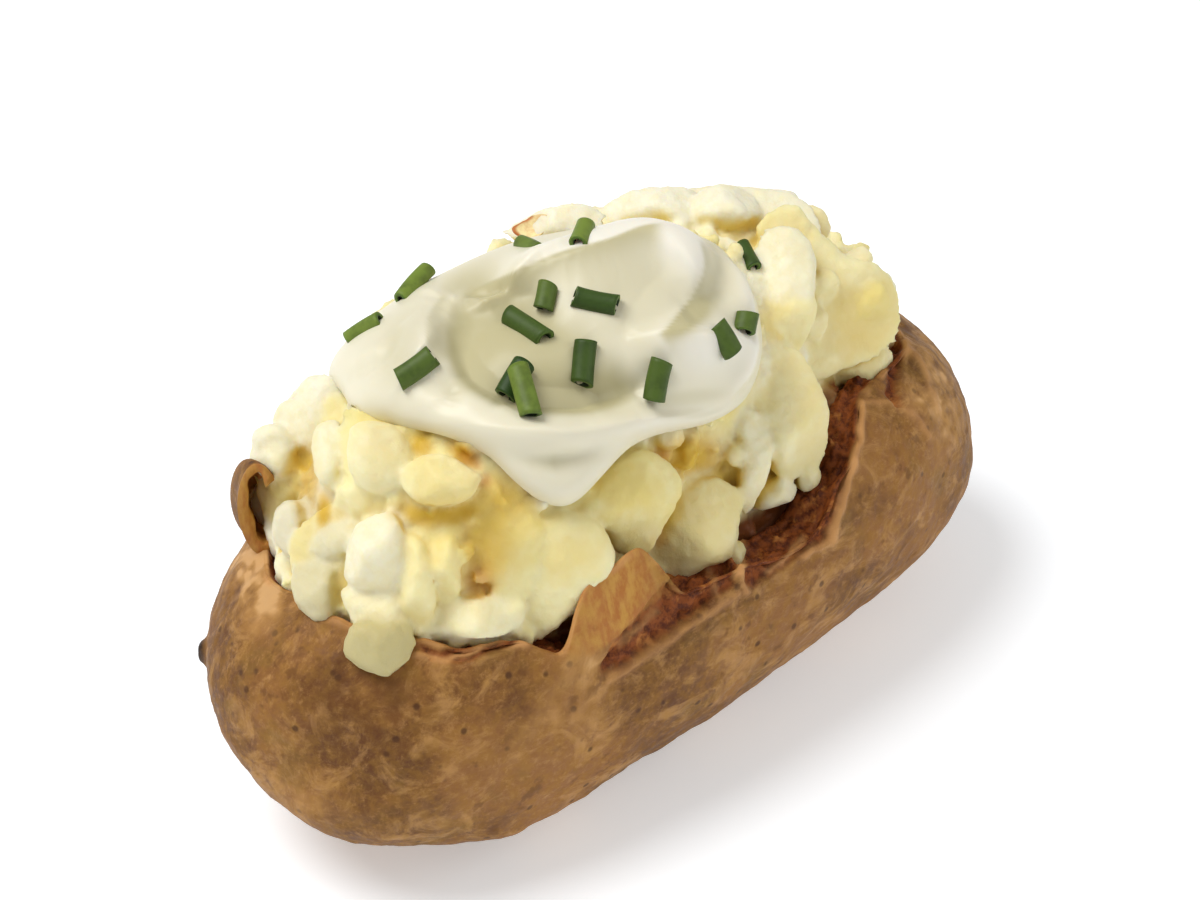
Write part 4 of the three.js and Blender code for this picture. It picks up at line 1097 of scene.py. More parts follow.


# Slabs that show from the view's side. at: outlines on a 1200 by 900 frame; thick: mm towards the view;
# out: mm from the heap to the slab's middle plane.
# Each slab's white and kernel give its tone, and its golden value how much golden painted shade it takes.
slabs = [
    dict(at=[(252, 441), (262, 429), (277, 424), (291, 431), (297, 448), (280, 458), (262, 456)], thick=3.2,
         out=0, white=0.8),
    dict(at=[(284, 408), (300, 392), (322, 388), (345, 382), (352, 405), (345, 428), (318, 434), (296, 430)],
         thick=4, out=0, white=0.8),
    dict(at=[(318, 428), (332, 420), (345, 428), (348, 455), (344, 480), (334, 492), (322, 482), (316, 455)],
         thick=3.6, out=1.6, white=0.6),
    dict(at=[(356, 430), (372, 422), (395, 426), (408, 445), (410, 470), (400, 490), (378, 495), (360, 485),
             (351, 460)], thick=4.6, out=1.6, white=0.35),
    dict(at=[(406, 466), (425, 455), (450, 456), (480, 474), (479, 484), (468, 499), (440, 506), (415, 501),
             (402, 484)], thick=4.5, out=1.4, white=0.15),
    dict(at=[(251, 505), (257, 488), (268, 480), (280, 486), (285, 505), (281, 530), (269, 535), (257, 524)],
         thick=3.4, out=6.0, white=1),
    dict(at=[(280, 522), (287, 505), (303, 501), (310, 514), (311, 540), (306, 556), (293, 560), (282, 545)],
         thick=4, out=2.6, white=1, kernel=0.35),
    dict(at=[(335, 500), (345, 486), (366, 484), (380, 495), (374, 512), (352, 520), (338, 516)], thick=2.6,
         out=0, white=0.2),
    dict(at=[(312, 550), (322, 532), (335, 522), (354, 519), (362, 535), (352, 552), (332, 560), (317, 559)],
         thick=3.4, out=1.2, white=0.8, kernel=0.4),
    dict(at=[(345, 562), (352, 535), (362, 520), (384, 512), (399, 520), (404, 545), (403, 576), (392, 590),
             (362, 590), (346, 579)], thick=5.2, out=2.4, white=0.75),
    dict(at=[(402, 540), (415, 533), (428, 545), (433, 575), (436, 605), (426, 627), (408, 624), (401, 595)],
         thick=4.4, out=1.6, white=0.15),
    dict(at=[(428, 548), (438, 535), (452, 534), (460, 550), (460, 580), (456, 601), (438, 600), (429, 575)],
         thick=4, out=0.8, white=0),
    dict(at=[(291, 585), (294, 567), (308, 558), (330, 556), (343, 572), (346, 598), (340, 610), (331, 622),
             (312, 617), (298, 603)], thick=5, out=2.2, white=0.8, kernel=0.6),
    dict(at=[(344, 588), (370, 580), (400, 586), (404, 622), (382, 627), (360, 625), (348, 608)], thick=4,
         out=1.8, white=0.55),
    dict(at=[(352, 627), (370, 621), (406, 623), (416, 640), (410, 656), (399, 668), (388, 676), (368, 671),
             (350, 661), (343, 648)], thick=4.5, out=1.5, white=0.4, kernel=1),
    dict(at=[(437, 610), (455, 600), (490, 595), (516, 603), (525, 620), (511, 631), (480, 635), (450, 633),
             (436, 623)], thick=4.2, out=2, white=0.45),
    dict(at=[(470, 520), (478, 490), (500, 478), (530, 505), (546, 530), (542, 570), (522, 602), (495, 602),
             (482, 560)], thick=3.5, out=-0.9, white=0, goldenShade=0.9),
    dict(at=[(532, 520), (560, 511), (590, 515), (610, 540), (613, 558), (602, 582), (580, 606), (560, 622),
             (546, 637), (534, 641), (523, 627), (517, 600), (522, 560)], thick=5, out=2.4, white=0.15),
    dict(at=[(566, 503), (588, 482), (610, 462), (640, 449), (663, 458), (679, 473), (683, 490), (670, 514),
             (659, 537), (649, 553), (630, 556), (612, 549), (600, 532), (580, 518)], thick=5, out=2.8,
         white=0),
    dict(at=[(686, 482), (715, 477), (738, 489), (743, 505), (738, 525), (735, 545), (722, 560), (700, 568),
             (682, 580), (665, 581), (654, 566), (651, 540), (661, 510), (672, 494)], thick=5.2, out=2.2,
         white=0.25),
    dict(at=[(738, 425), (750, 409), (765, 415), (773, 435), (769, 460), (759, 490), (752, 511), (742, 513),
             (738, 482), (742, 450)], thick=3.2, out=3.4, white=0.6),
    dict(at=[(746, 392), (758, 370), (774, 353), (798, 350), (807, 364), (814, 385), (824, 405), (828, 440),
             (823, 463), (812, 476), (790, 478), (772, 470), (762, 440), (750, 415)], thick=6, out=2,
         white=0.3),
    dict(at=[(754, 494), (768, 480), (786, 475), (797, 486), (794, 497), (780, 503), (765, 507), (755, 509)],
         thick=3.2, out=2.6, white=0.7),
    dict(at=[(793, 480), (808, 469), (821, 471), (817, 485), (802, 493)], thick=2.4, out=1, white=0.4),
    dict(at=[(766, 305), (774, 276), (800, 272), (813, 300), (807, 335), (795, 353), (772, 352), (765, 328)],
         thick=4, out=0.4, white=0.1),
    dict(at=[(820, 284), (844, 262), (870, 278), (887, 300), (892, 325), (880, 346), (850, 351), (828, 350),
             (816, 320)], thick=5.5, out=1, white=0),
    dict(at=[(820, 362), (838, 350), (866, 352), (890, 350), (895, 375), (889, 394), (870, 391), (850, 381),
             (832, 386), (821, 380)], thick=4.6, out=1.6, white=0.25),
    dict(at=[(756, 246), (765, 230), (790, 226), (809, 240), (806, 262), (785, 272), (762, 268)], thick=3.8,
         out=0, white=0.8),
    dict(at=[(786, 214), (800, 203), (815, 212), (830, 235), (812, 246), (794, 240)], thick=3.6, out=0,
         white=0.4),
    dict(at=[(834, 262), (848, 252), (862, 247), (868, 262), (858, 276), (842, 276)], thick=3.4, out=0,
         white=0.5),
    dict(at=[(862, 276), (880, 272), (893, 290), (886, 303), (868, 298)], thick=3.2, out=0, white=0.6),
    dict(at=[(806, 280), (822, 268), (834, 280), (830, 302), (812, 308)], thick=3.2, out=1.2, white=0.3),
    dict(at=[(690, 202), (715, 188), (745, 189), (762, 210), (747, 228), (715, 229), (695, 222)], thick=4,
         out=0, white=0.9),
    dict(at=[(748, 205), (765, 192), (792, 196), (800, 212), (780, 228), (757, 226)], thick=4, out=-1,
         white=0.9),
    dict(at=[(598, 216), (625, 200), (660, 192), (692, 190), (700, 215), (690, 230), (655, 224), (620, 227)],
         thick=4, out=-1, white=0.95),
    dict(at=[(500, 233), (525, 218), (560, 214), (600, 211), (606, 228), (570, 241), (530, 242)], thick=4,
         out=-1, white=0.95),
    dict(at=[(808, 345), (820, 335), (832, 348), (830, 372), (816, 380), (808, 364)], thick=3, out=0,
         white=0.2),
    dict(at=[(800, 306), (812, 300), (824, 315), (820, 338), (806, 340), (799, 324)], thick=3, out=0.6,
         white=0.3),
    dict(at=[(268, 478), (276, 458), (292, 452), (308, 462), (312, 484), (300, 500), (284, 500), (272, 492)],
         thick=3.0, out=0.2, white=0, goldenShade=0.45),
    dict(at=[(250, 452), (262, 438), (284, 436), (296, 452), (290, 476), (268, 480), (256, 470)], thick=3.4,
         out=0.4, white=0.7),
    dict(at=[(276, 424), (290, 404), (312, 402), (326, 418), (320, 446), (300, 456), (282, 446)], thick=3.2,
         out=0.2, white=0.8),
    dict(at=[(262, 520), (270, 512), (284, 530), (292, 552), (286, 566), (274, 552)], thick=2.6, out=0.6,
         white=0.9),
    dict(at=[(276, 560), (288, 550), (300, 562), (304, 584), (294, 592), (283, 580)], thick=2.8, out=0.6,
         white=0.6),
    dict(at=[(300, 392), (312, 380), (330, 380), (340, 392), (326, 404), (308, 404)], thick=3, out=-0.4,
         white=1),
    dict(at=[(280, 455), (296, 440), (312, 446), (316, 468), (306, 484), (290, 480)], thick=2.4, out=-0.6,
         white=0, goldenShade=1),
    dict(at=[(400, 600), (416, 598), (436, 606), (440, 626), (420, 634), (402, 628)], thick=3, out=1,
         white=0.3),
    dict(at=[(480, 600), (500, 585), (520, 596), (524, 618), (505, 626), (486, 616)], thick=3, out=1,
         white=0.3),
    dict(at=[(722, 560), (736, 540), (746, 548), (740, 566), (728, 574)], thick=2.2, out=0.2, white=0.3),
    dict(at=[(846, 330), (862, 322), (880, 332), (878, 350), (860, 356), (846, 346)], thick=2.6, out=0.8,
         white=0),
    dict(at=[(258, 450), (280, 425), (310, 400), (345, 392), (356, 430), (345, 480), (320, 520), (290, 545),
             (266, 520), (256, 485)], thick=2.4, out=-1.8, white=0.1, goldenShade=1),
    dict(at=[(345, 400), (400, 425), (440, 440), (490, 470), (500, 500), (450, 520), (380, 510), (345, 470)],
         thick=2.4, out=-1.8, white=0, goldenShade=1),
    dict(at=[(290, 540), (340, 500), (400, 520), (440, 560), (430, 610), (380, 625), (330, 610), (300, 590)],
         thick=2.4, out=-1.6, white=0.2, goldenShade=1),
    dict(at=[(757, 240), (775, 226), (800, 232), (814, 262), (810, 300), (797, 332), (775, 335), (764, 300)],
         thick=3.8, out=0.8, white=0.7),
    dict(at=[(756, 228), (790, 203), (815, 228), (845, 255), (880, 266), (900, 300), (895, 345), (850, 368),
             (815, 380), (790, 350), (768, 300)], thick=2.8, out=-0.4, white=0.2, goldenShade=0.5),
    dict(at=[(254, 497), (262, 482), (274, 484), (280, 505), (276, 528), (264, 530), (256, 516)], thick=1.6,
         out=0.6, white=0.8, goldenShade=0.3),
    dict(at=[(640, 205), (700, 190), (780, 192), (812, 208), (820, 236), (780, 250), (740, 235), (690, 225)],
         thick=2.6, out=-1.2, white=0.8),
]


def chunkHeight(across, aloft, chance, facets=5, edge=16):
    # the height of a broken piece over its middle plane, 1 at most: flat facets with soft edges
    total = 1.0
    for _ in range(facets):
        angle = chance.uniform(0, turn)
        slope = chance.uniform(0.2, 1.0)
        start = chance.uniform(0.85, 1.2)
        plane = start - slope * (across * math.cos(angle) + aloft * math.sin(angle))
        total = total + np.maximum(1 / np.maximum(plane, 0.05), 0) ** edge
    return total ** (-1 / edge)


# A slab's form. edge and backEdge: how square its rim is, in front and behind; backShare: its thickness
# behind, as a share of the front's; towards: how far it is turned to the view, 0 flat on the heap, 1 fully.
slabMesh = dict(around=72, rings=18, edge=7, backEdge=2.2, backShare=1.5, backFacets=7, towards=0.55)


def slabOf(spec, tree, chance):
    outline = smoothPath(spec["at"], step=0.125, closed=True)
    gone = np.concatenate([[0], np.hypot(*np.diff(outline, axis=0, append=outline[:1]).T).cumsum()])
    places = np.linspace(0, gone[-1], slabMesh["around"] + 1)[:-1]
    outline = np.stack([np.interp(places, gone, np.append(outline[:, k], outline[0, k])) for k in (0, 1)], -1)
    middle = outline.mean(0)
    place, normal = seatOf(*middle, tree)
    if normal @ backWay < 0:
        normal = -normal
    normal = unit(slabMesh["towards"] * backWay + (1 - slabMesh["towards"]) * normal)
    place = place + backWay * spec["out"]
    share = np.sin(np.linspace(0, 1, slabMesh["rings"] + 1)[1:] * math.pi / 2)
    pixels = middle + share[:, None, None] * (outline - middle)[None]
    sights = sightOf(pixels[..., 0], pixels[..., 1])
    far = ((place - eye) @ normal) / (sights @ normal)
    base = eye + sights * far[..., None]
    dome = (1 - share ** slabMesh["edge"])[:, None] ** 0.5
    spread = np.hypot(*(outline - middle).T).mean()
    across, aloft = ((pixels - middle) / spread)[..., 0], ((pixels - middle) / spread)[..., 1]
    chunk = chunkHeight(across, aloft, chance)
    front = base + normal * (spec["thick"] * dome * chunk)[..., None]
    lumpy = chunkHeight(across, aloft, random.Random(round(middle[0])), slabMesh["backFacets"])
    backDome = (1 - share ** slabMesh["backEdge"])[:, None] ** 0.5
    behind = base - normal * (spec["thick"] * slabMesh["backShare"] * backDome * lumpy)[..., None]
    rows = np.concatenate([behind[:-1], front[::-1]])
    frontTop = place + normal * spec["thick"] * chunk[0].mean()
    backTop = place - normal * spec["thick"] * slabMesh["backShare"] * lumpy[0].mean()
    points = np.concatenate([rows.reshape(-1, 3), [backTop, frontTop]])
    faces = wrapFaces(len(rows), slabMesh["around"])
    turned = np.roll(outline, -1, axis=0)
    area = (outline[:, 0] * turned[:, 1] - turned[:, 0] * outline[:, 1]).sum()
    return points, faces if area < 0 else [face[::-1] for face in faces]


def pebble(chance, detail, facets=15, edge=16):  # a broken lump about the origin, about 2 across
    ball = bmesh.new()
    bmesh.ops.create_icosphere(ball, subdivisions=detail, radius=1)
    points = np.array([v.co for v in ball.verts])
    faces = [[v.index for v in f.verts] for f in ball.faces]
    ball.free()
    points = unit(points)
    total = np.ones(len(points))
    for _ in range(facets):
        way = unit(np.array([chance.uniform(-1, 1) for _ in range(3)]))
        total = total + np.maximum(points @ way / chance.uniform(0.55, 0.85), 0) ** edge
    return points * (total ** (-1 / edge))[:, None], faces


def lumpAt(place, normal, side, size, depth, sunk, lean, chance):
    # a flake of flesh at a place on the heap, tipped a little out of the surface
    points, faces = pebble(chance, 4)
    turned = chance.uniform(0, turn)
    aslant = side * math.cos(turned) + np.cross(normal, side) * math.sin(turned)
    tipped = unit(normal + aslant * chance.uniform(-lean, lean))
    aslant = unit(np.cross(np.cross(tipped, aslant), tipped))
    across = np.cross(tipped, aslant)
    narrower = chance.uniform(0.55, 0.95)
    axes = np.stack([aslant * size / 2, across * size * narrower / 2, tipped * size * depth])
    return points @ axes + place - normal * size * sunk, faces


# Lumps all over the heap. rows: how far up it each row lies, from 0 to 1, and mm between its lumps; smallest
# and largest: their size as a share of that; shownSmaller: for the view's side; big: mm, some at the back.
lumpShape = dict(
    rows=[(0.03, 7), (0.12, 8), (0.24, 9), (0.37, 9), (0.5, 8.5), (0.62, 7.5), (0.72, 6.5), (0.8, 6),
          (0.88, 6), (0.96, 6)],
    closer=0.72, smallest=0.45, largest=1.35, depth=(0.34, 0.66), sunk=0.12, lean=0.8,
    shownSmaller=0.6, bigShare=0.4, big=(9, 14),
)


def lumpsOn(chance):
    # flakes all over the heap; where the slabs show there are only small ones between them
    shape = lumpShape
    made = []
    for rise, apart in shape["rows"]:
        ring = heapPoint(np.linspace(0, turn, 73)[:-1], rise + np.zeros(72))
        girth = np.linalg.norm(ring - np.roll(ring, 1, axis=0), axis=-1).sum()
        count = max(round(girth / (apart * shape["closer"])), 1)
        for i in range(count):
            around = (i + 0.7 * chance.random()) / count * turn
            here = np.clip(rise + chance.uniform(-0.05, 0.05), 0.01, 0.98)
            spot = np.array([around, around + 0.02, around - 0.02, around, around])
            rises = np.array([here, here, here, min(here + 0.02, 1), max(here - 0.02, 0)])
            place, ahead, behind, above, below = heapPoint(spot, rises)
            side = unit(ahead - behind)
            normal = unit(np.cross(side, above - below))
            size = apart * chance.uniform(shape["smallest"], shape["largest"])
            depth = chance.uniform(*shape["depth"])
            seen = onFrame(place)
            if normal @ backWay > 0.1 and any(insideOf(seen[None], spec["at"])[0] for spec in slabs):
                continue
            if normal @ backWay > 0.25 and rise > 0.1:
                size = size * shape["shownSmaller"]
            elif normal @ backWay < 0 and rise < 0.7 and chance.random() < shape["bigShare"]:
                size = chance.uniform(*shape["big"])
            made.append(lumpAt(place, normal, side, size, depth, shape["sunk"], shape["lean"], chance))
    return made


# Flesh that lies in the valley between the heap and the lip. share: of the valley's width, by degrees around;
# edgeIn and footIn: mm that the valley's sides are moved in; rise and sink: mm that it bulges up and down.
apron = dict(
    share=[(0, 0.6), (30, 1), (60, 1), (205, 1), (232, 1), (241, 0.4), (250, 0.12), (285, 0.12), (315, 0.25),
           (340, 0.4)],
    columns=360, steps=20, edgeIn=1.7, footIn=1.5, lift=1.2, rise=0.5, sink=3.0,
    lumps=[(5.0, 0.8), (2.2, 0.35)], apart=4.2, size=(3.4, 7.0),
)


def valley(around):
    edge = tuber(around, lipAngle(around))
    foot = cavity(around, np.ones_like(around), lip["clearance"])
    inward = unit(foot[..., :2] - edge[..., :2])
    inward = np.concatenate([inward, 0 * inward[..., :1]], -1)
    return edge + inward * apron["edgeIn"], foot + inward * apron["footIn"], inward


def apronRing():
    around = np.arange(apron["columns"]) / apron["columns"] * turn
    edge, foot, _ = valley(around)
    edge = foot + (edge - foot) * eased(apron["share"], around)[:, None]
    phase = np.arange(apron["steps"]) / apron["steps"] * turn
    middle, half = (edge + foot) / 2, (edge - foot) / 2
    rows = []
    for angle in phase:
        point = middle + half * math.cos(angle)
        point[:, 2] = middle[:, 2] + half[:, 2] * math.cos(angle) + apron["lift"]
        point[:, 2] += (apron["rise"] if math.sin(angle) > 0 else apron["sink"]) * math.sin(angle)
        if math.sin(angle) > 0:
            uneven = sum(height * cloud(point, size, seed=31) for size, height in apron["lumps"])
            point[:, 2] += math.sin(angle) * uneven
        rows.append(point)
    return np.concatenate(rows), loopFaces(len(rows), apron["columns"], closed=True)


def lumpsOnApron(chance):
    made, around = [], 0.0
    while around < turn:
        edge, foot, inward = (v[0] for v in valley(np.array([around])))
        share = eased(apron["share"], np.array([around]))[0]
        size = chance.uniform(*apron["size"])
        place = foot + (edge - foot) * share * chance.uniform(0.35, 0.95) + np.array([0, 0, 0.7])
        if share > 0.6:
            side = np.cross([0, 0, 1], inward)
            normal = unit(np.array([0, 0, 1]) - 0.5 * inward)
            made.append(lumpAt(place, normal, side, size, chance.uniform(0.3, 0.45), 0.1, 0.4, chance))
        radius = math.hypot(potato["length"] / 2 * math.sin(around), potato["width"] / 2 * math.cos(around))
        around += apron["apart"] * chance.uniform(0.6, 1.2) / radius
    return made


def joined(parts):
    points, faces, count = [], [], 0
    for partPoints, partFaces in parts:
        points.append(partPoints)
        faces += [[i + count for i in face] for face in partFaces]
        count += len(partPoints)
    return np.concatenate(points), faces


def surfaceOf(piece):  # a piece's points and faces, in the forms' own frame
    return coordinates(piece.data) / mm + origin, [list(p.vertices) for p in piece.data.polygons]


# Crumbs scattered on the core. finer: the scale of their unevenness; most: crumbs on a square metre.
crumbMesh = dict(detail=3, finer=700, most=400000)
crumbSetup = {"Seed": 4, "Apart": 4.6 * mm, "Smallest": 0.5 * mm, "Largest": 1.5 * mm, "Uneven": 0.9 * mm}


def crumbTree():
    # crumbs of flesh scattered on the surface: irregular little balls, each turned its own way
    tree = bpy.data.node_groups.new("scatterCrumbs", "GeometryNodeTree")
    face = tree.interface
    face.new_socket("Geometry", in_out="INPUT", socket_type="NodeSocketGeometry")
    for name, value in crumbSetup.items():
        kind = "NodeSocketInt" if name == "Seed" else "NodeSocketFloat"
        face.new_socket(name, in_out="INPUT", socket_type=kind).default_value = value
    face.new_socket("Material", in_out="INPUT", socket_type="NodeSocketMaterial")
    face.new_socket("Geometry", in_out="OUTPUT", socket_type="NodeSocketGeometry")
    node, link = tree.nodes.new, tree.links.new
    given, out = node("NodeGroupInput"), node("NodeGroupOutput")
    spread = node("GeometryNodeDistributePointsOnFaces")
    spread.distribute_method = "POISSON"
    loose = node("GeometryNodeInputNamedAttribute")
    loose.data_type = "FLOAT"
    loose.inputs["Name"].default_value = "loose"
    ball = node("GeometryNodeMeshIcoSphere")
    ball.inputs["Radius"].default_value = 1
    ball.inputs["Subdivisions"].default_value = crumbMesh["detail"]
    placed = node("GeometryNodeInstanceOnPoints")
    turned, sized = node("FunctionNodeRandomValue"), node("FunctionNodeRandomValue")
    turned.data_type = "FLOAT_VECTOR"
    turned.inputs["Max"].default_value = (turn, turn, turn)
    sized.data_type = "FLOAT"
    solid, uneven = node("GeometryNodeRealizeInstances"), node("GeometryNodeSetPosition")
    noise, moved = node("ShaderNodeTexNoise"), node("ShaderNodeVectorMath")
    scaled, finish = node("ShaderNodeVectorMath"), node("GeometryNodeSetMaterial")
    noise.inputs["Scale"].default_value = crumbMesh["finer"]
    moved.operation = "SUBTRACT"
    moved.inputs[1].default_value = (0.5, 0.5, 0.5)
    scaled.operation = "SCALE"
    spread.inputs["Density Max"].default_value = crumbMesh["most"]
    link(given.outputs["Geometry"], spread.inputs["Mesh"])
    link(given.outputs["Apart"], spread.inputs["Distance Min"])
    link(given.outputs["Seed"], spread.inputs["Seed"])
    link(loose.outputs["Attribute"], spread.inputs["Density Factor"])
    link(spread.outputs["Points"], placed.inputs["Points"])
    link(ball.outputs["Mesh"], placed.inputs["Instance"])
    link(turned.outputs["Value"], placed.inputs["Rotation"])
    link(given.outputs["Smallest"], sized.inputs[2])
    link(given.outputs["Largest"], sized.inputs[3])
    link(given.outputs["Seed"], sized.inputs["Seed"])
    link(sized.outputs[1], placed.inputs["Scale"])
    link(placed.outputs["Instances"], solid.inputs["Geometry"])
    link(solid.outputs["Geometry"], uneven.inputs["Geometry"])
    link(noise.outputs["Color"], moved.inputs[0])
    link(moved.outputs[0], scaled.inputs[0])
    link(given.outputs["Uneven"], scaled.inputs["Scale"])
    link(scaled.outputs[0], uneven.inputs["Offset"])
    link(uneven.outputs["Geometry"], finish.inputs["Geometry"])
    link(given.outputs["Material"], finish.inputs["Material"])
    link(finish.outputs["Geometry"], out.inputs["Geometry"])
    return tree


def scattered(seatPoints, seatFaces, loose, material):
    seat = meshOf("crumbSeat", seatPoints, seatFaces, dict(loose=loose))
    modifier = seat.modifiers.new("crumbs", "NODES")
    modifier.node_group = crumbTree()
    for item in modifier.node_group.interface.items_tree:
        if item.in_out == "INPUT" and item.name in crumbSetup:
            modifier[item.identifier] = crumbSetup[item.name]
        elif item.in_out == "INPUT" and item.name == "Material":
            modifier[item.identifier] = material
    evaluated(seat)
    points, faces = surfaceOf(seat)
    bpy.data.objects.remove(seat)
    return points, faces


# fluff: size and height of the finest unevenness; looser: how much more of it lies off the slabs; slabReach:
# mm round a slab that count as its own; rays: how the hollows are found; the last three: mm up.
fleshShape = dict(
    voxel=0.565, fluff=[(3.2, 0.18), (1.4, 0.18)], looser=1.6, slabReach=0.9, rays=12, rayLength=13.0,
    floorLevel=33.0, shownAbove=36, crumbsAbove=50,
)


def upperCore():
    # the part of the core that shows, closed below inside the jacket
    shape = coreShape
    first = shape["deepRows"] - 3
    rows = corePoints[first * shape["columns"]:-2]
    count = len(rows) // shape["columns"]
    low = np.array([*heap["middle"], fleshShape["floorLevel"]])
    return np.concatenate([rows, [low], corePoints[-1:]]), wrapFaces(count, shape["columns"])


def remeshed(name, points, faces, voxel):
    piece = meshOf(name, points, faces)
    modifier = piece.modifiers.new("voxels", "REMESH")
    modifier.mode, modifier.voxel_size = "VOXEL", voxel * mm
    modifier.use_smooth_shade = True
    evaluated(piece)
    return piece


def directions(count):  # evenly spread over the half ball about +Z
    k = np.arange(count) + 0.5
    level = 1 - k / count
    angle = k * math.pi * (1 + 5**0.5)
    flat = np.sqrt(1 - level**2)
    return np.stack([flat * np.cos(angle), flat * np.sin(angle), level], -1)


def hollowness(points, normals, tree, count, length):
    # the share of rays from each point that meet the surface again nearby
    side = unit(np.cross(normals, [0.3, 0.2, 0.93]))
    other = np.cross(normals, side)
    hits = np.zeros(len(points))
    starts = points + normals * 0.25
    for way in directions(count):
        rays = side * way[0] + other * way[1] + normals * way[2]
        for i, (start, ray) in enumerate(zip(starts.tolist(), rays.tolist())):
            if tree.ray_cast(start, ray, length)[0] is not None:
                hits[i] += way[2]
    return hits / directions(count)[:, 2].sum()


# The flesh inside the jacket, down to its bottom: plain, since nothing shows of it.
deepShape = dict(columns=96, rows=14, narrowed=0.93, raised=2.5, top=46)


def deepCore():
    shape = deepShape
    around = np.arange(shape["columns"]) / shape["columns"] * turn
    levels = np.linspace(0, 1, shape["rows"] + 1)[1:]
    rows = [cavity(around, t + 0 * around, lip["clearance"]) for t in levels]
    narrowed = (rows[-1] - [*heap["middle"], 0]) * [shape["narrowed"], shape["narrowed"], 1]
    rows.append(narrowed + [*heap["middle"], shape["raised"]])
    top = [*heap["middle"], shape["top"]]
    poles = np.array([cavity(np.array(0.0), np.array(0.0), lip["clearance"]), top])
    return np.concatenate([np.array(rows).reshape(-1, 3), poles]), wrapFaces(len(rows), shape["columns"])


def withDeepCore(piece):
    deep = meshOf("deepFlesh", *deepCore())
    union = piece.modifiers.new("deep", "BOOLEAN")
    union.operation, union.solver, union.object = "UNION", "MANIFOLD", deep
    evaluated(piece)
    bpy.data.objects.remove(deep)
    piece.data.polygons.foreach_set("use_smooth", [True] * len(piece.data.polygons))


# Painted shade, golden, where the flesh lies deep between the slabs, on a 1200 by 900 frame: middle, half
# sizes, turned, strength.
goldenShadeSpots = [
    ((442, 512), (60, 19), -3, 0.9), ((484, 545), (32, 50), 0, 0.75), ((421, 445), (13, 14), 0, 0.9),
    ((462, 454), (20, 12), 45, 0.9),
    ((306, 480), (16, 40), 0, 0.8), ((324, 512), (9, 26), 0, 0.9), ((694, 458), (36, 26), 0, 0.9),
    ((500, 500), (40, 30), 0, 0.7), ((850, 325), (34, 44), 0, 0.45), ((786, 320), (20, 36), 0, 0.4),
    ((650, 520), (60, 50), 0, 0.22), ((392, 440), (26, 22), 0, 0.3), ((350, 510), (30, 14), 0, 0.4),
    ((448, 570), (24, 40), 0, 0.3), ((835, 388), (18, 10), 0, 0.5), ((668, 560), (12, 22), 0, 0.3),
]
orangeSpots = [((480, 582), (15, 20), 0, 0.4), ((470, 462), (10, 16), -40, 0.5), ((484, 480), (8, 8), 0, 0.5),
               ((655, 545), (12, 20), 0, 0.5), ((838, 392), (14, 8), 0, 0.4), ((662, 455), (8, 6), 0, 0.5)]


def spreadOut(piece, values, times):  # evened out between neighbouring points
    edges = np.empty(len(piece.data.edges) * 2, np.int32)
    piece.data.edges.foreach_get("vertices", edges)
    a, b = edges.reshape(-1, 2).T
    count = np.maximum(np.bincount(a, minlength=len(values)) + np.bincount(b, minlength=len(values)), 1)
    for _ in range(times):
        total = np.bincount(a, values[b], len(values)) + np.bincount(b, values[a], len(values))
        values = 0.4 * values + 0.6 * total / count
    return values


def footShown(points):  # 1 where no flesh lies between the heap's foot and the lip
    return 1 - eased(apron["share"], atFoot(points[:, 0], points[:, 1], footTurns))


def nearSlab(points, slabParts, shown):  # which slab each point belongs to, or -1
    whose = np.concatenate([np.full(len(faces), k) for k, (_, faces) in enumerate(slabParts)])
    slabTree = treeOf(*joined(slabParts))
    near = np.full(len(points), -1)
    for i in np.nonzero(shown)[0]:
        found = slabTree.find_nearest(points[i].tolist(), fleshShape["slabReach"])[2]
        if found is not None:
            near[i] = whose[found]
    return near


def markFlesh(piece, slabParts):
    # hollow: deep between lumps, painted shade; white and kernel: by slab; golden painted shade and orange:
    # where they show
    points, faces = surfaceOf(piece)
    normals, tree = normalsOf(piece.data), treeOf(points, faces)
    shown = points[:, 2] > fleshShape["shownAbove"]
    hollow = np.zeros(len(points))
    hollow[shown] = hollowness(points[shown], normals[shown], tree, fleshShape["rays"],
                               fleshShape["rayLength"])
    near = nearSlab(points, slabParts, shown)

    def bySlab(key, elsewhere):  # what each slab says, and something else off the slabs
        return np.where(near >= 0, np.array([spec.get(key, 0) for spec in slabs])[near], elsewhere)

    plain = np.where(near >= 0, 1 - bySlab("goldenShade", 0), 0)
    white = bySlab("white", 0.5 + 1.1 * cloud(points, 9.0, seed=52))
    kernel = bySlab("kernel", 0)
    white, kernel, hollow = (spreadOut(piece, np.clip(v, 0, 1), 3) for v in (white, kernel, hollow))
    seen, facing = onFrame(points), smooth(normals @ backWay, -0.3, 0.1)
    behind = 1 - 0.8 * spreadOut(piece, plain, 2) * smooth(0.55 - hollow, 0, 0.3)
    overFoot = points[:, 2] - atFoot(points[:, 0], points[:, 1], footRing[:, 2])
    raised = overFoot + 1.2 * cloud(points, 3.0, seed=90)
    low = 1 - smooth(raised, 2.8, 5.4)
    browned = low * (near < 0) * smooth(footShown(points), 0.2, 0.6)
    white = white * (1 - smooth(hollow, 0.35, 0.7)) * np.where(near < 0, smooth(raised, 4, 10), 1)
    values = dict(
        hollow=hollow * (1 - 0.6 * kernel), white=white, kernel=kernel, browned=spreadOut(piece, browned, 2),
        goldenShade=spotted(goldenShadeSpots, seen, facing) * behind, orange=spotted(orangeSpots, seen, facing) * behind,
    )
    for key, value in values.items():
        piece.data.attributes.new(key, "FLOAT", "POINT").data.foreach_set("value", value.astype(np.float32))
    print("flesh", len(points), "points, hollows from", hollow.min().round(2), "to", hollow.max().round(2))


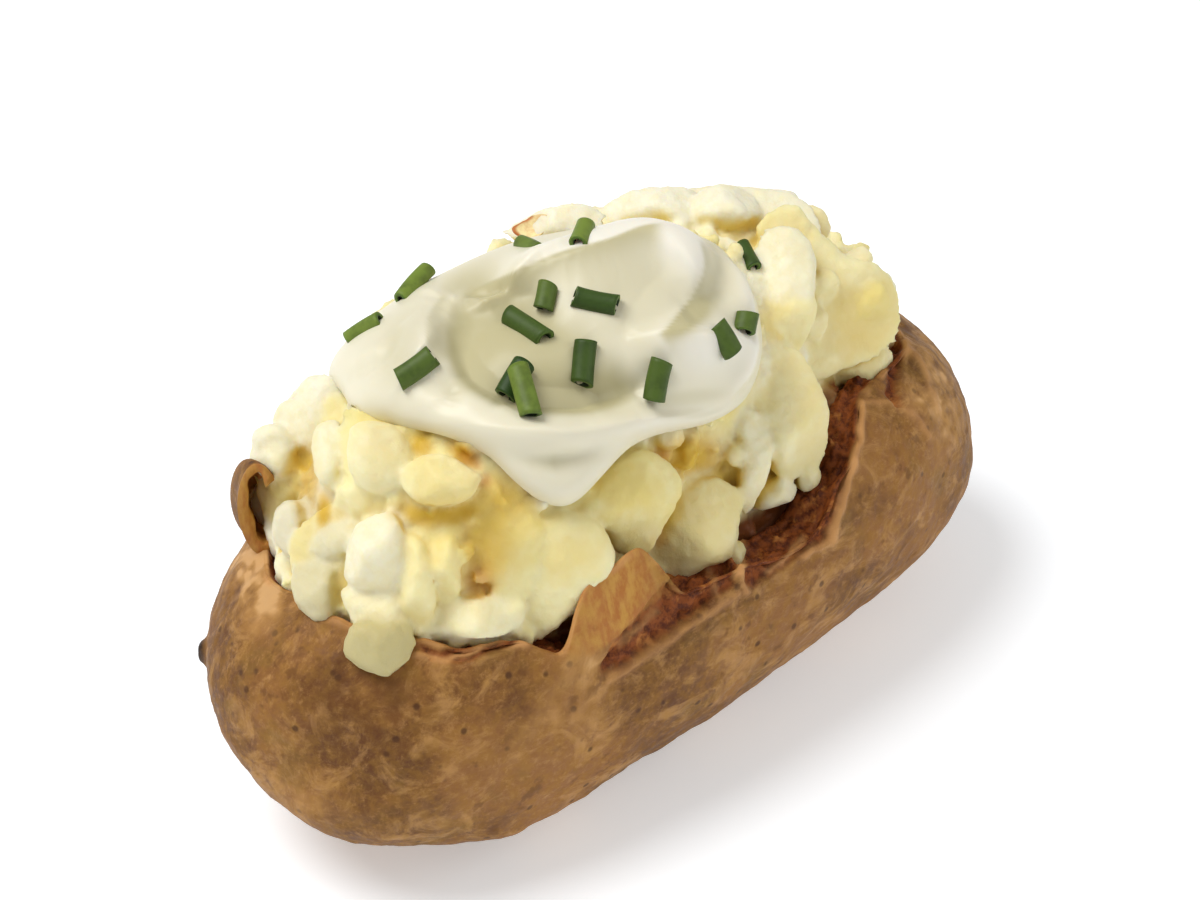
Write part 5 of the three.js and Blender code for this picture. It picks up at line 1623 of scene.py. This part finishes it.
def makeFlesh(material, jacketPoints, jacketFaces):
    chance = random.Random(8)
    apronPart = apronRing()
    seatTree = treeOf(*joined([(corePoints, coreFaces), (jacketPoints, jacketFaces), apronPart]))
    slabParts = [slabOf(spec, seatTree, chance) for spec in slabs]
    lumps = lumpsOn(chance) + lumpsOnApron(chance)
    loose = (corePoints[:, 2] > fleshShape["crumbsAbove"]) * 1.0
    crumbs = scattered(corePoints, coreFaces, loose, material)
    whole, faces = joined([upperCore(), apronPart, *slabParts, *lumps, crumbs])
    piece = remeshed("fluffedFlesh", whole, faces, fleshShape["voxel"])
    points = coordinates(piece.data) / mm + origin
    normals = normalsOf(piece.data)
    fluff = 0
    for i, (size, height) in enumerate(fleshShape["fluff"]):
        fluff = fluff + height * clouds(points, size, seed=60 + i, octaves=2)
    shown = points[:, 2] > fleshShape["shownAbove"]
    loose = spreadOut(piece, (nearSlab(points, slabParts, shown) < 0) * 1.0, 3)
    points = creamCover(points + normals * (fluff * (1 + fleshShape["looser"] * loose))[:, None])
    piece.data.vertices.foreach_set("co", toFrame(points).astype(np.float32).reshape(-1))
    piece.data.update()
    withDeepCore(piece)
    piece.data.materials.clear()
    piece.data.materials.append(material)
    markFlesh(piece, slabParts)
    return piece


# Cut chives: hollow tubes lying on the cream, a few bent a little. wall: mm; bedded: the share of the width
# sunk in the cream; flat: how flat it lies; slant: of its cut ends. Then for each: ends, on a 1200 by 900
# frame; wide and longest: mm; tone: 0 dark to 1 light; over: mm more above what it lies on.
chives = dict(wall=0.7, bedded=0.22, around=28, along=14, sag=0.08, flat=0.86, slant=0.2)
cutChives = [
    dict(ends=[(401, 300), (428, 269)], wide=2.6, tone=0.9, longest=8),
    dict(ends=[(349, 340), (381, 320)], wide=2.8, tone=0.9, longest=8),
    dict(ends=[(398, 380), (433, 355)], wide=3.3, tone=0.35, longest=8),
    dict(ends=[(543, 309), (548, 285)], wide=3.0, tone=0.45, longest=6),
    dict(ends=[(508, 315), (545, 339)], wide=3.2, tone=0.2, longest=8),
    dict(ends=[(574, 296), (617, 305)], wide=3.1, tone=0.1, longest=8),
    dict(ends=[(582, 384), (586, 341)], wide=3.3, tone=0.15, longest=8),
    dict(ends=[(654, 400), (662, 361)], wide=3.3, tone=0.3, longest=8),
    dict(ends=[(733, 353), (716, 325)], wide=3.2, tone=0.3, longest=5.8, over=2.4),
    dict(ends=[(744, 332), (748, 313)], wide=3.4, tone=0.4, longest=6),
    dict(ends=[(754, 268), (742, 246)], wide=2.6, tone=0.1, longest=6),
    dict(ends=[(505, 396), (524, 364)], wide=3.4, tone=0.0, longest=8),
    dict(ends=[(531, 415), (518, 368)], wide=3.2, tone=0.8, longest=9, over=2.6),
    dict(ends=[(578, 243), (586, 224)], wide=2.8, tone=0.9, longest=6),
    dict(ends=[(520, 243), (538, 251)], wide=2.6, tone=0.7, longest=6),
]


def tubeOf(start, end, wide, chance):
    # a hollow tube from start to end, closed between its outer and inner wall; its parts are marked
    along, around = chives["along"], chives["around"]
    axis = unit(end - start)
    side = unit(np.cross(axis, backWay))
    out = np.cross(side, axis)
    theta = np.arange(around) / around * turn
    length = np.linalg.norm(end - start)
    outer, inner = wide / 2, wide / 2 - chives["wall"]
    slants = [chance.uniform(-chives["slant"], chives["slant"]) for _ in range(4)]
    bow = chance.uniform(-1, 1) * chives["sag"] * length
    rows, marks = [], []

    def ring(share, radius):
        squash = chives["flat"] - 0.06 * math.sin(share * math.pi)
        middle = start + (end - start) * share + side * bow * (1 - (2 * share - 1) ** 2) * 0.5
        tip = ((1 - share) ** 8 * (slants[0] * np.cos(theta) + slants[1] * np.sin(theta))
               + share**8 * (slants[2] * np.cos(theta) + slants[3] * np.sin(theta)))
        return (middle + np.outer(np.cos(theta) * radius, side)
                + np.outer(np.sin(theta) * radius * squash, out) + np.outer(tip * radius, axis))

    for radius, inside, order in ((outer, 0, np.linspace(0, 1, along)), (inner, 1, np.linspace(1, 0, along))):
        for share in order:
            rows.append(ring(share, radius))
            marks.append((inside, 0))
        rows.append(ring(order[-1], (outer + inner) / 2))
        marks.append((0, 1))
    faces = [(a, d, c, b) for a, b, c, d in loopFaces(len(rows), around, closed=True)]
    marks = np.repeat(np.array(marks, float), around, axis=0)
    return np.concatenate(rows), faces, marks


def chiveEnds(spec, tree):
    lift = spec["wide"] * (0.5 - chives["bedded"]) + spec.get("over", 0)
    places = []
    for x, y in spec["ends"]:
        place, normal = seatOf(x, y, tree)
        depth = -((place + normal * lift - eye) @ backWay)
        places.append((depth, sightOf(x, y)))
    (nearDepth, nearSight), (farDepth, farSight) = places
    start = eye + nearSight * nearDepth
    for share in np.linspace(1, 0, 41):  # no longer than it is cut: its far end comes up
        end = eye + farSight * (nearDepth + (farDepth - nearDepth) * share)
        if np.linalg.norm(end - start) < spec["longest"]:
            break
    return start, end


def makeChives(tree, material):
    chance = random.Random(21)
    parts, tones, insides, cuts = [], [], [], []
    for spec in cutChives:
        points, faces, marks = tubeOf(*chiveEnds(spec, tree), spec["wide"], chance)
        parts.append((points, faces))
        tones.append(np.full(len(points), spec["tone"]))
        insides.append(marks[:, 0])
        cuts.append(marks[:, 1])
    points, faces = joined(parts)
    marks = dict(tone=np.concatenate(tones), inside=np.concatenate(insides), cutEnd=np.concatenate(cuts))
    piece = meshOf("cutChives", points, faces, marks)
    piece.data.materials.append(material)
    return piece


# A small curled flake of skin at the back of the heap, pale inside. half sizes in mm; turned in degrees.
skinFlake = dict(seen=(533, 230), lift=0.1, wide=2.7, tall=2.0, thick=0.4, turned=-24, cupped=1.3, rows=25,
                 columns=15)


def makeFlake(tree, material):
    shape = skinFlake
    place, normal = seatOf(*shape["seen"], tree)
    angle = math.radians(shape["turned"])
    across = rightWay * math.cos(angle) - upWay * math.sin(angle)
    aloft = rightWay * math.sin(angle) + upWay * math.cos(angle)
    facing = unit(backWay + 0.5 * aloft)
    aloft = unit(aloft - facing * (aloft @ facing))
    middle = place + normal * shape["lift"]
    levels = np.linspace(-1, 1, shape["rows"] + 2)[1:-1]
    sides = np.linspace(-1, 1, shape["columns"])
    rows, rims, backs = [], [], []
    for v in levels:
        half = (1 - abs(v) ** 2.6) ** 0.6 * (1 + 0.1 * math.sin(5 * v))
        for order, back in ((sides, 0), (sides[::-1], 1)):
            for u in order:
                cup = shape["cupped"] * ((u * half) ** 2 + 0.5 * v**2) - back * shape["thick"]
                tilt = 0.12 * math.sin(7 * v + 2 * u)
                rows.append(middle + across * (u * half * shape["wide"]) + aloft * (v * shape["tall"] + tilt)
                            + facing * cup)
                rims.append(smooth(max(abs(u), abs(v)), 0.72, 0.9) * smooth(v - u, -0.3, 0.5))
                backs.append(back)
    count = 2 * shape["columns"]
    poles = [np.mean(rows[:count], axis=0), np.mean(rows[-count:], axis=0)]
    points = np.concatenate([np.array(rows), poles])
    piece = meshOf("skinFlake", points, wrapFaces(shape["rows"], count),
                   dict(rim=np.append(rims, [0, 1]), outside=np.append(backs, [0, 0])))
    piece.data.materials.append(material)
    return piece


sourCream = makeCream(creamFinish())
print("cream", len(sourCream.data.polygons), "faces")
flesh = makeFlesh(fleshFinish(), *surfaceOf(jacket))
topTree = treeOf(*joined([surfaceOf(sourCream), surfaceOf(flesh)]))
chivePiece = makeChives(topTree, chiveFinish())
print("chives", len(chivePiece.data.polygons), "faces")
flake = makeFlake(topTree, flakeFinish())
print("flake", len(flake.data.polygons), "faces")
for piece, node, slot in (
    (jacket, "jacket", "skin"), (flesh, "flesh", "flesh"), (sourCream, "sour_cream", "sour_cream"),
    (chivePiece, "sour_cream", "chives"), (flake, "flesh", "skin"),
):
    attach(piece, "root")
    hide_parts(node)
